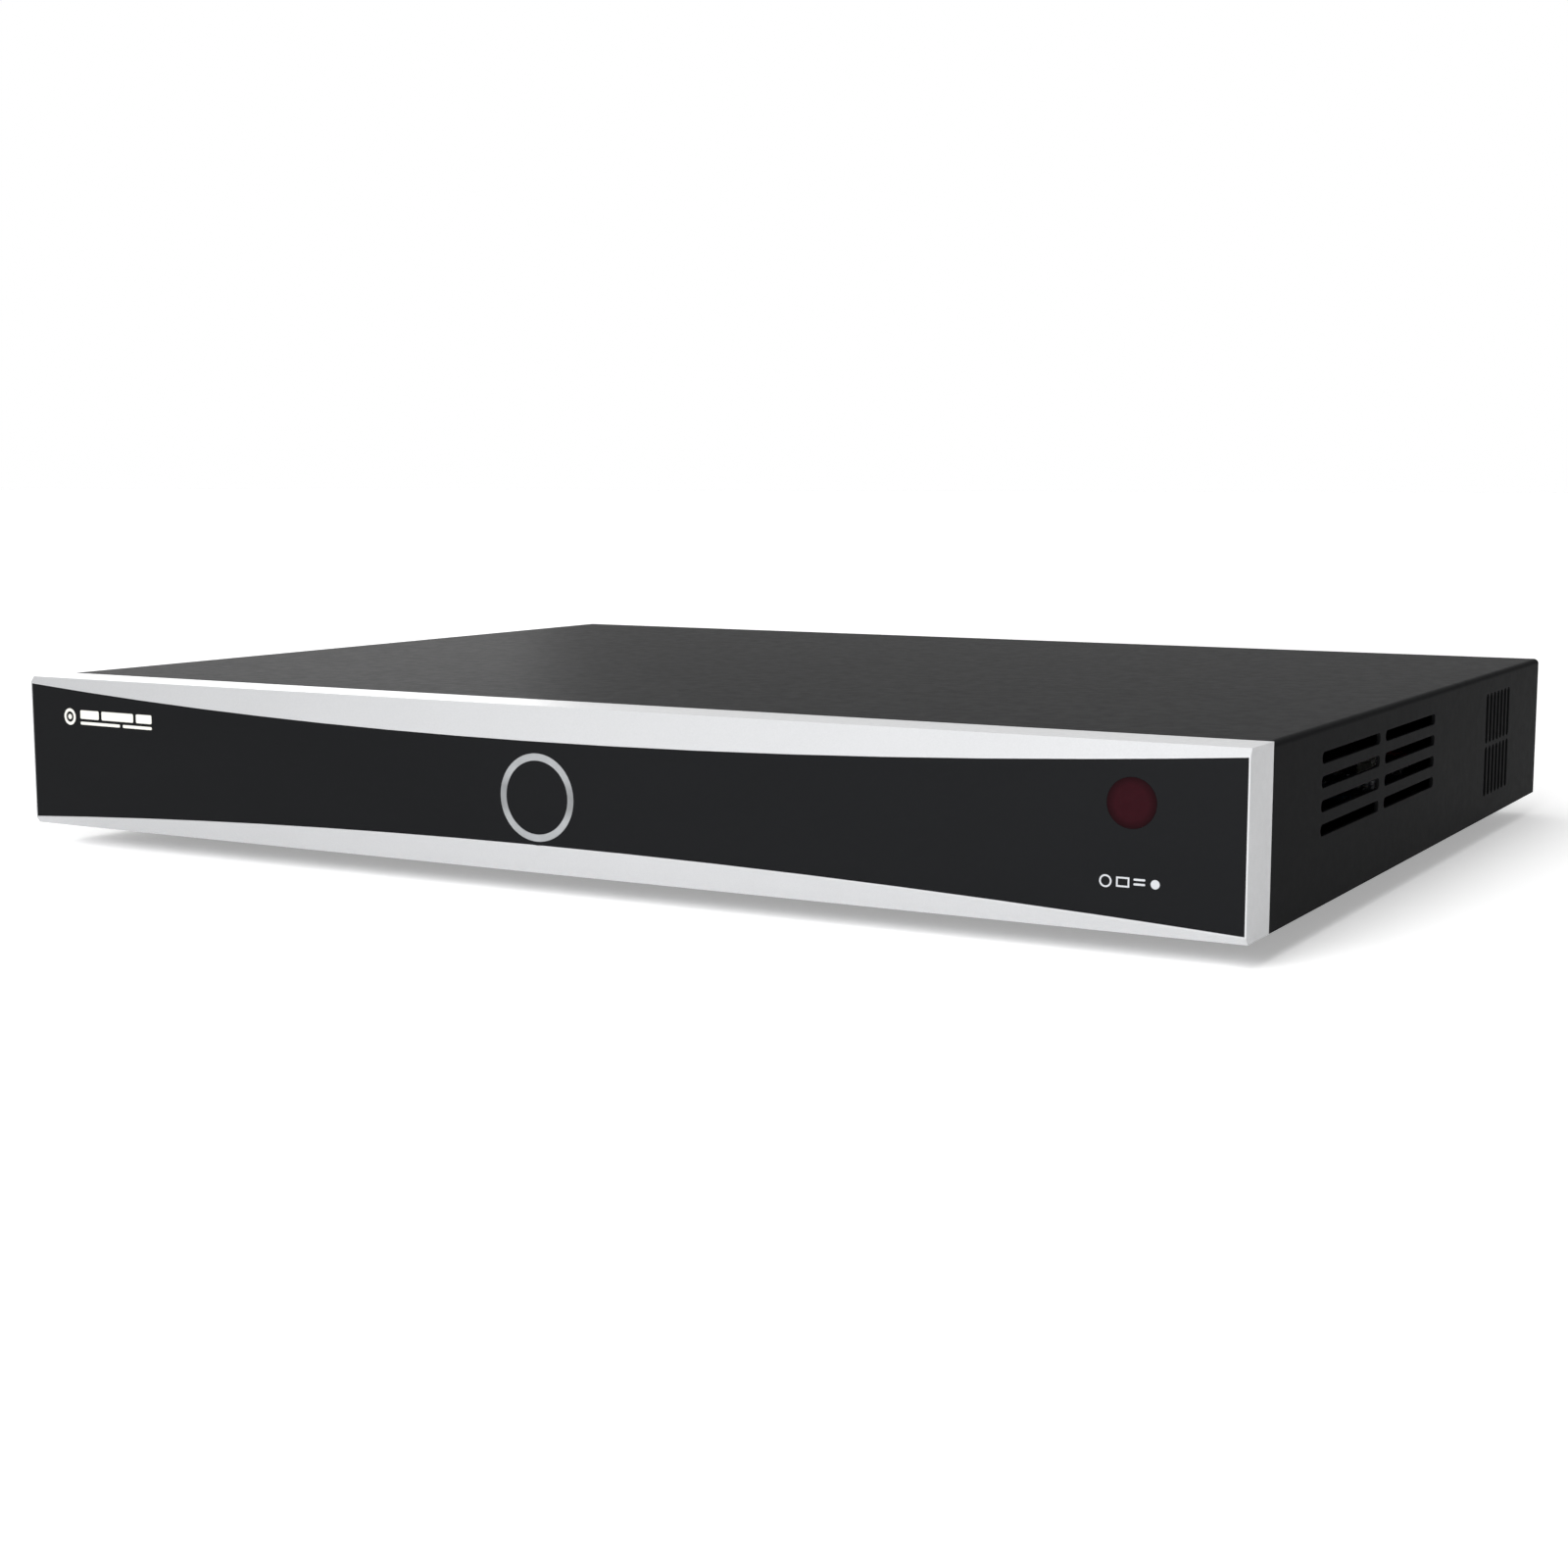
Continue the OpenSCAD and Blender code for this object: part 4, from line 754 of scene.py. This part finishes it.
STANDING = (
    "heat_sink", "memory_chips", "video_decoders", "capacitors", "inductors", "cell_holder", "coin_cell",
    "sata_sockets", "board_headers", "bnc_housing", "rca_housing", "vga_insert", "hdmi_shell", "usb_shell",
    "lan_jack", "terminal_header", "dc_jack", "m3_screws",
)
LEG_OUTLINE = (
    (0, 0.62), (0.3, 0.62), (0.46, 0.18), (0.9, 0.18), (0.9, 0), (0.36, 0), (0.2, 0.42), (0, 0.42),
)
LEG_SIDES = ((-0.12, 0), (0.12, 0))
LEFT_AND_RIGHT = ((-1, 0), (1, 0))
ALL_ROUND = LEFT_AND_RIGHT + ((0, -1), (0, 1))


def legs(metal, low, high, sides, pitch, top):
    """Bent legs along the chosen sides of a chip; a side is the direction that it faces."""
    for side_x, side_y in sides:
        reach = high.y - low.y if side_x else high.x - low.x
        count = int((reach - 0.8) / pitch)
        for i in range(count):
            along = (i - (count - 1) / 2) * pitch
            if side_x:
                edge = high.x if side_x > 0 else low.x
                centre = (low.y + high.y) / 2 + along
                metal.grow(lambda u, v, w: (edge + side_x * u, centre + w, top + v),
                           lambda inset: LEG_OUTLINE, LEG_SIDES)
            else:
                edge = high.y if side_y > 0 else low.y
                centre = (low.x + high.x) / 2 + along
                metal.grow(lambda u, v, w: (centre + w, edge + side_y * u, top + v),
                           lambda inset: LEG_OUTLINE, LEG_SIDES)


def can_tops(metal, black):
    """A bright top with a scored cross on each capacitor."""
    for low, high in solids("capacitors"):
        centre = (low + high) / 2
        radius = (high.x - low.x) / 2
        metal.grow(lying(centre.x, centre.y, high.z - 0.2), disc(radius - 0.45),
                   ((0, 0), (0.3, 0), (0.35, 0.1)))
        for size in ((radius * 1.2, 0.3), (0.3, radius * 1.2)):
            black.grow(lying(centre.x, centre.y, high.z + 0.1), square(*size), ((0, 0), (0.07, 0.02)))


def board_parts():
    """Chip legs and dots, capacitor tops, and small chips and parts on the free areas of the main board."""
    low, high = box("main_board")
    top = high.z
    draw = random.Random(11)
    taken = [(a.x - 1, a.y - 1, b.x + 1, b.y + 1) for node in STANDING for a, b in solids(node)]
    black, pale, metal, marks = Build(), Build(), Build(), Build()

    def free(x, y, half_x, half_y):
        """Whether a place on the board is free of everything that stands on it."""
        return all(x + half_x < left or x - half_x > right or y + half_y < front or y - half_y > rear
                   for left, front, right, rear in taken)

    def take(x, y, half_x, half_y):
        taken.append((x - half_x, y - half_y, x + half_x, y + half_y))

    def first_leg_dot(chip_low, chip_high, inset, radius, sides=16):
        """A printed dot in a chip's left rear corner."""
        dot = lying(chip_low.x + inset, chip_high.y - inset, chip_high.z)
        marks.stamp(dot, disc(radius, sides), 0.03)

    for chip in solids("memory_chips"):
        legs(metal, *chip, LEFT_AND_RIGHT, 0.6, top)
        first_leg_dot(*chip, 1.2, 0.45)
    for chip in solids("video_decoders"):
        legs(metal, *chip, ALL_ROUND, 0.7, top)
        first_leg_dot(*chip, 1.5, 0.6)
    can_tops(metal, black)

    chip_foot, chip_height = 0.1, 1.2
    for size_x, size_y, count in ((5, 4, 7), (7, 7, 3)):
        room = size_x / 2 + 1.6, size_y / 2 + 1
        while count:
            x = draw.uniform(low.x + 8, high.x - 8)
            y = draw.uniform(low.y + 8, high.y - 24)
            if not free(x, y, *room):
                continue
            count -= 1
            take(x, y, *room)
            black.slab(lying(x, y, top + chip_foot), rounded(size_x, size_y, 0.15, 1), chip_height, 0.12)
            corner = Vector((size_x / 2, size_y / 2, 0))
            centre = Vector((x, y, top + chip_foot + chip_height))
            legs(metal, centre - corner, centre + corner, LEFT_AND_RIGHT, 0.9, top)
            first_leg_dot(centre - corner, centre + corner, 0.8, 0.3, 12)

    tries, pitch = 320, 2.2
    for _ in range(tries):
        x = draw.uniform(low.x + 3, high.x - 3)
        y = draw.uniform(low.y + 3, high.y - 5)
        count = draw.randint(2, 7)
        order = 1 if draw.random() < 0.5 else -1  # 1 for a row along X, -1 for one along Y
        body = black if draw.random() < 0.55 else pale
        half_x, half_y = (0.62, 1.0)[::order]
        brick = square(*(1.24, 1.3)[::order])
        cap = square(*(1.28, 0.36)[::order])
        for i in range(count):
            step_x, step_y = (i * pitch, 0)[::order]
            spot_x, spot_y = x + step_x, y + step_y
            inside = low.x + 2 < spot_x < high.x - 2 and low.y + 2 < spot_y < high.y - 2
            if not inside or not free(spot_x, spot_y, half_x + 0.3, half_y + 0.3):
                break
            take(spot_x, spot_y, half_x, half_y)
            body.grow(lying(spot_x, spot_y, top), brick, ((0, 0), (0.5, 0), (0.55, 0.05)))
            for end in (-0.82, 0.82):
                shift_x, shift_y = (0, end)[::order]
                metal.grow(lying(spot_x + shift_x, spot_y + shift_y, top), cap,
                           ((0, 0), (0.52, 0), (0.58, 0.05)))
    black.piece("board_chips", "chip_black")
    pale.piece("board_ceramics", "header_white")
    metal.piece("board_metal", "zinc_screws")
    marks.piece("board_marks", "insulator_white")


# ---------------------------------------------------------------- drives, fan and sockets

LABEL_SIZE, LABEL_THICK = 54, 0.14
# left edge, top edge, width and height, from the middle of the label
LABEL_BARS = (
    (-24, 24, 30, 5),
    (-24, 15, 44, 1), (-24, 12, 38, 1), (-24, 9, 41, 1), (-24, 6, 25, 1),
    (-24, -4, 20, 1), (-24, -7, 16, 1), (-24, -10, 20, 1),
    (4, -3, 20, 9),
    (-24, -17, 48, 0.5),
)


def drive_details():
    """A label with plain bars and six round-headed screws on each drive's lid."""
    paper, ink, screws = Build(), Build(), Build()
    for node in ("drive_left_lid", "drive_right_lid"):
        low, high = box(node)
        centre = (low + high) / 2
        label_y = centre.y - 22
        sheet = rounded(LABEL_SIZE, LABEL_SIZE, 1.5)
        paper.slab(lying(centre.x, label_y, high.z), sheet, LABEL_THICK, 0.03)
        for left, back, width, height in LABEL_BARS:
            bar = lying(centre.x + left + width / 2, label_y + back - height / 2, high.z + LABEL_THICK)
            ink.stamp(bar, square(width, height), 0.03)
        reach_x, reach_y = (high.x - low.x - 9.6) / 2, (high.y - low.y - 11.6) / 2
        for side_x in (-1, 1):
            for side_y in (-1, 0, 1):
                spot = lying(centre.x + side_x * reach_x, centre.y + side_y * reach_y, low.z + 0.5)
                screws.grow(spot, disc(1.9, 24), ((0, 0), (0.5, 0), (0.6, 0.12), (0.6, 0.95), (0.2, 1.0)))
    paper.piece("drive_labels", "header_white")
    ink.piece("drive_label_bars", "chip_black")
    screws.piece("drive_lid_screws", "zinc_screws")


def fan_sticker():
    """A round sticker with two printed rings on the fan's hub."""
    low, high = box("fan_frame")
    centre = (low + high) / 2
    thick = 0.1
    sticker = Build()
    sticker.slab(facing_left(low.x, centre.y, centre.z), disc(8.8, 48), thick, 0.02)
    sticker.piece("fan_sticker", "header_white")
    rings = Build()
    for outer, inner in ((8.0, 7.6), (3.6, 2.9)):
        rings.hoop(facing_left(low.x - thick, centre.y, centre.z), outer, inner, 0.02)
    rings.piece("fan_sticker_rings", "chip_black")


def contacts():
    """Contact strips of the USB and HDMI tongues, and the lamps of the network socket."""
    gold = Build()
    for low, high in solids("usb_tongues"):
        for shift in (-3.5, -1, 1, 3.5):
            place = lying((low.x + high.x) / 2 + shift, high.y - 3.8, low.z - 0.12)
            gold.grow(place, square(1.0, 7.0), ((0, 0.05), (0.05, 0), (0.2, 0)))
    low, high = box("hdmi_tongue")
    strip = square(0.45, 5.6)
    count, pitch = 9, 1.0
    y = high.y - 3.2
    for i in range(count):
        x = (low.x + high.x) / 2 + (i - (count - 1) / 2) * pitch
        gold.grow(lying(x, y, high.z - 0.05), strip, ((0, 0), (0.1, 0), (0.14, 0.04)))
        gold.grow(lying(x, y, low.z - 0.09), strip, ((0, 0.04), (0.04, 0), (0.14, 0)))
    gold.piece("socket_contacts", "gold_contact")
    low, high = box("lan_jack")
    for side, name, slot in ((-1, "left", "terminal_green"), (1, "right", "led_white")):
        place = facing_rear((low.x + high.x) / 2 + side * 5.6, high.y - 0.3, high.z - 2.0)
        lamp = Build()
        lamp.slab(place, rounded(3.0, 2.0, 0.3), 0.5, 0.12)
        lamp.piece("network_lamp_" + name, slot)


front_marks()
rear_marks()
drive_cables()
ribbon()
leads()
board_parts()
drive_details()
fan_sticker()
contacts()


# ---------------------------------------------------------------- camera, floor and light

def stand_camera():
    """The camera stands to the right of the front, a little above the case."""
    degrees_down, degrees_left = 7.51, 29.71
    data = bpy.data.cameras.new("camera")
    data.lens = 53.0
    data.sensor_width = 36.0
    data.clip_start = 0.01
    camera = bpy.data.objects.new("camera", data)
    camera.location = (0.3558, -0.6493, 0.1116)
    camera.rotation_euler = (math.radians(90 - degrees_down), 0.0, math.radians(degrees_left))
    bpy.context.collection.objects.link(camera)
    bpy.context.scene.camera = camera


def lay_floor():
    """A wide pale floor under the feet, faintly lit from below like a light table."""
    bpy.ops.mesh.primitive_plane_add(size=40.0, location=(0, 0, 0))
    floor = bpy.context.object
    floor.name = "floor"
    look = Finish("floor_paper", Specular_IOR_Level=0.1, Emission_Color=(1, 1, 1, 1),
                  Emission_Strength=0.34)
    look.colour(look.blend(look.noise(3, 3), (0.93, 0.93, 0.93), (0.95, 0.95, 0.95)))
    look.roughness(look.noise(40, 3), 0.85, 0.95)
    look.relief(look.noise(900, 2), 0.02 * MM)
    floor.data.materials.append(look.material)


def hang_lamp(name, kind, place, target, power, **shape):
    """A lamp that faces a target."""
    data = bpy.data.lights.new(name, kind)
    data.energy = power
    for key, value in shape.items():
        setattr(data, key, value)
    lamp = bpy.data.objects.new(name, data)
    lamp.location = place
    lamp.rotation_euler = (Vector(target) - Vector(place)).to_track_quat("-Z", "Y").to_euler()
    bpy.context.collection.objects.link(lamp)


def light_studio():
    """White surroundings, dimmer on the right and high up in front, a broad lamp and two small ones."""
    world = bpy.data.worlds.new("studio")
    world.use_nodes = True
    nodes, links = world.node_tree.nodes, world.node_tree.links
    split = nodes.new("ShaderNodeSeparateXYZ")
    links.new(nodes.new("ShaderNodeTexCoord").outputs["Generated"], split.inputs["Vector"])

    def fade(axis, start, end, before, after):
        """A soft change of strength along one axis of the direction."""
        made = nodes.new("ShaderNodeMapRange")
        made.interpolation_type = "SMOOTHSTEP"
        ends = {"From Min": start, "From Max": end, "To Min": before, "To Max": after}
        for socket, number in ends.items():
            made.inputs[socket].default_value = number
        links.new(split.outputs[axis], made.inputs["Value"])
        return made.outputs["Result"]

    def joined(operation, first, second):
        made = nodes.new("ShaderNodeMath")
        made.operation = operation
        links.new(first, made.inputs[0])
        links.new(second, made.inputs[1])
        return made.outputs["Value"]

    sky = joined("MULTIPLY", fade("X", -0.2, 0.3, 1.0, 0.2), fade("Y", -0.3, 0.5, 0.6, 1.0))
    horizon = joined("MULTIPLY", fade("Z", 0.12, 0.3, 1.0, 0.0), fade("Y", 0.1, 0.4, 1.0, 0.0))
    background = nodes["Background"]
    background.inputs["Color"].default_value = (1.0, 1.0, 1.0, 1.0)
    links.new(joined("MAXIMUM", sky, horizon), background.inputs["Strength"])
    bpy.context.scene.world = world
    hang_lamp("broad", "SUN", (-0.4, -0.9, 1.4), (0, 0, 0), 0.9, angle=math.radians(70))
    hang_lamp("front_right", "AREA", (0.16, -0.6, 0.32), (0.16, -0.22, 0), 2.5,
              shape="DISK", size=0.3)
    hang_lamp("left_rear", "AREA", (-1.4, 1.0, 0.5), (-0.1, 0, 0.04), 3.2,
              shape="RECTANGLE", size=1.0, size_y=0.6)
    bpy.context.scene.view_settings.view_transform = "Standard"


stand_camera()
lay_floor()
light_studio()
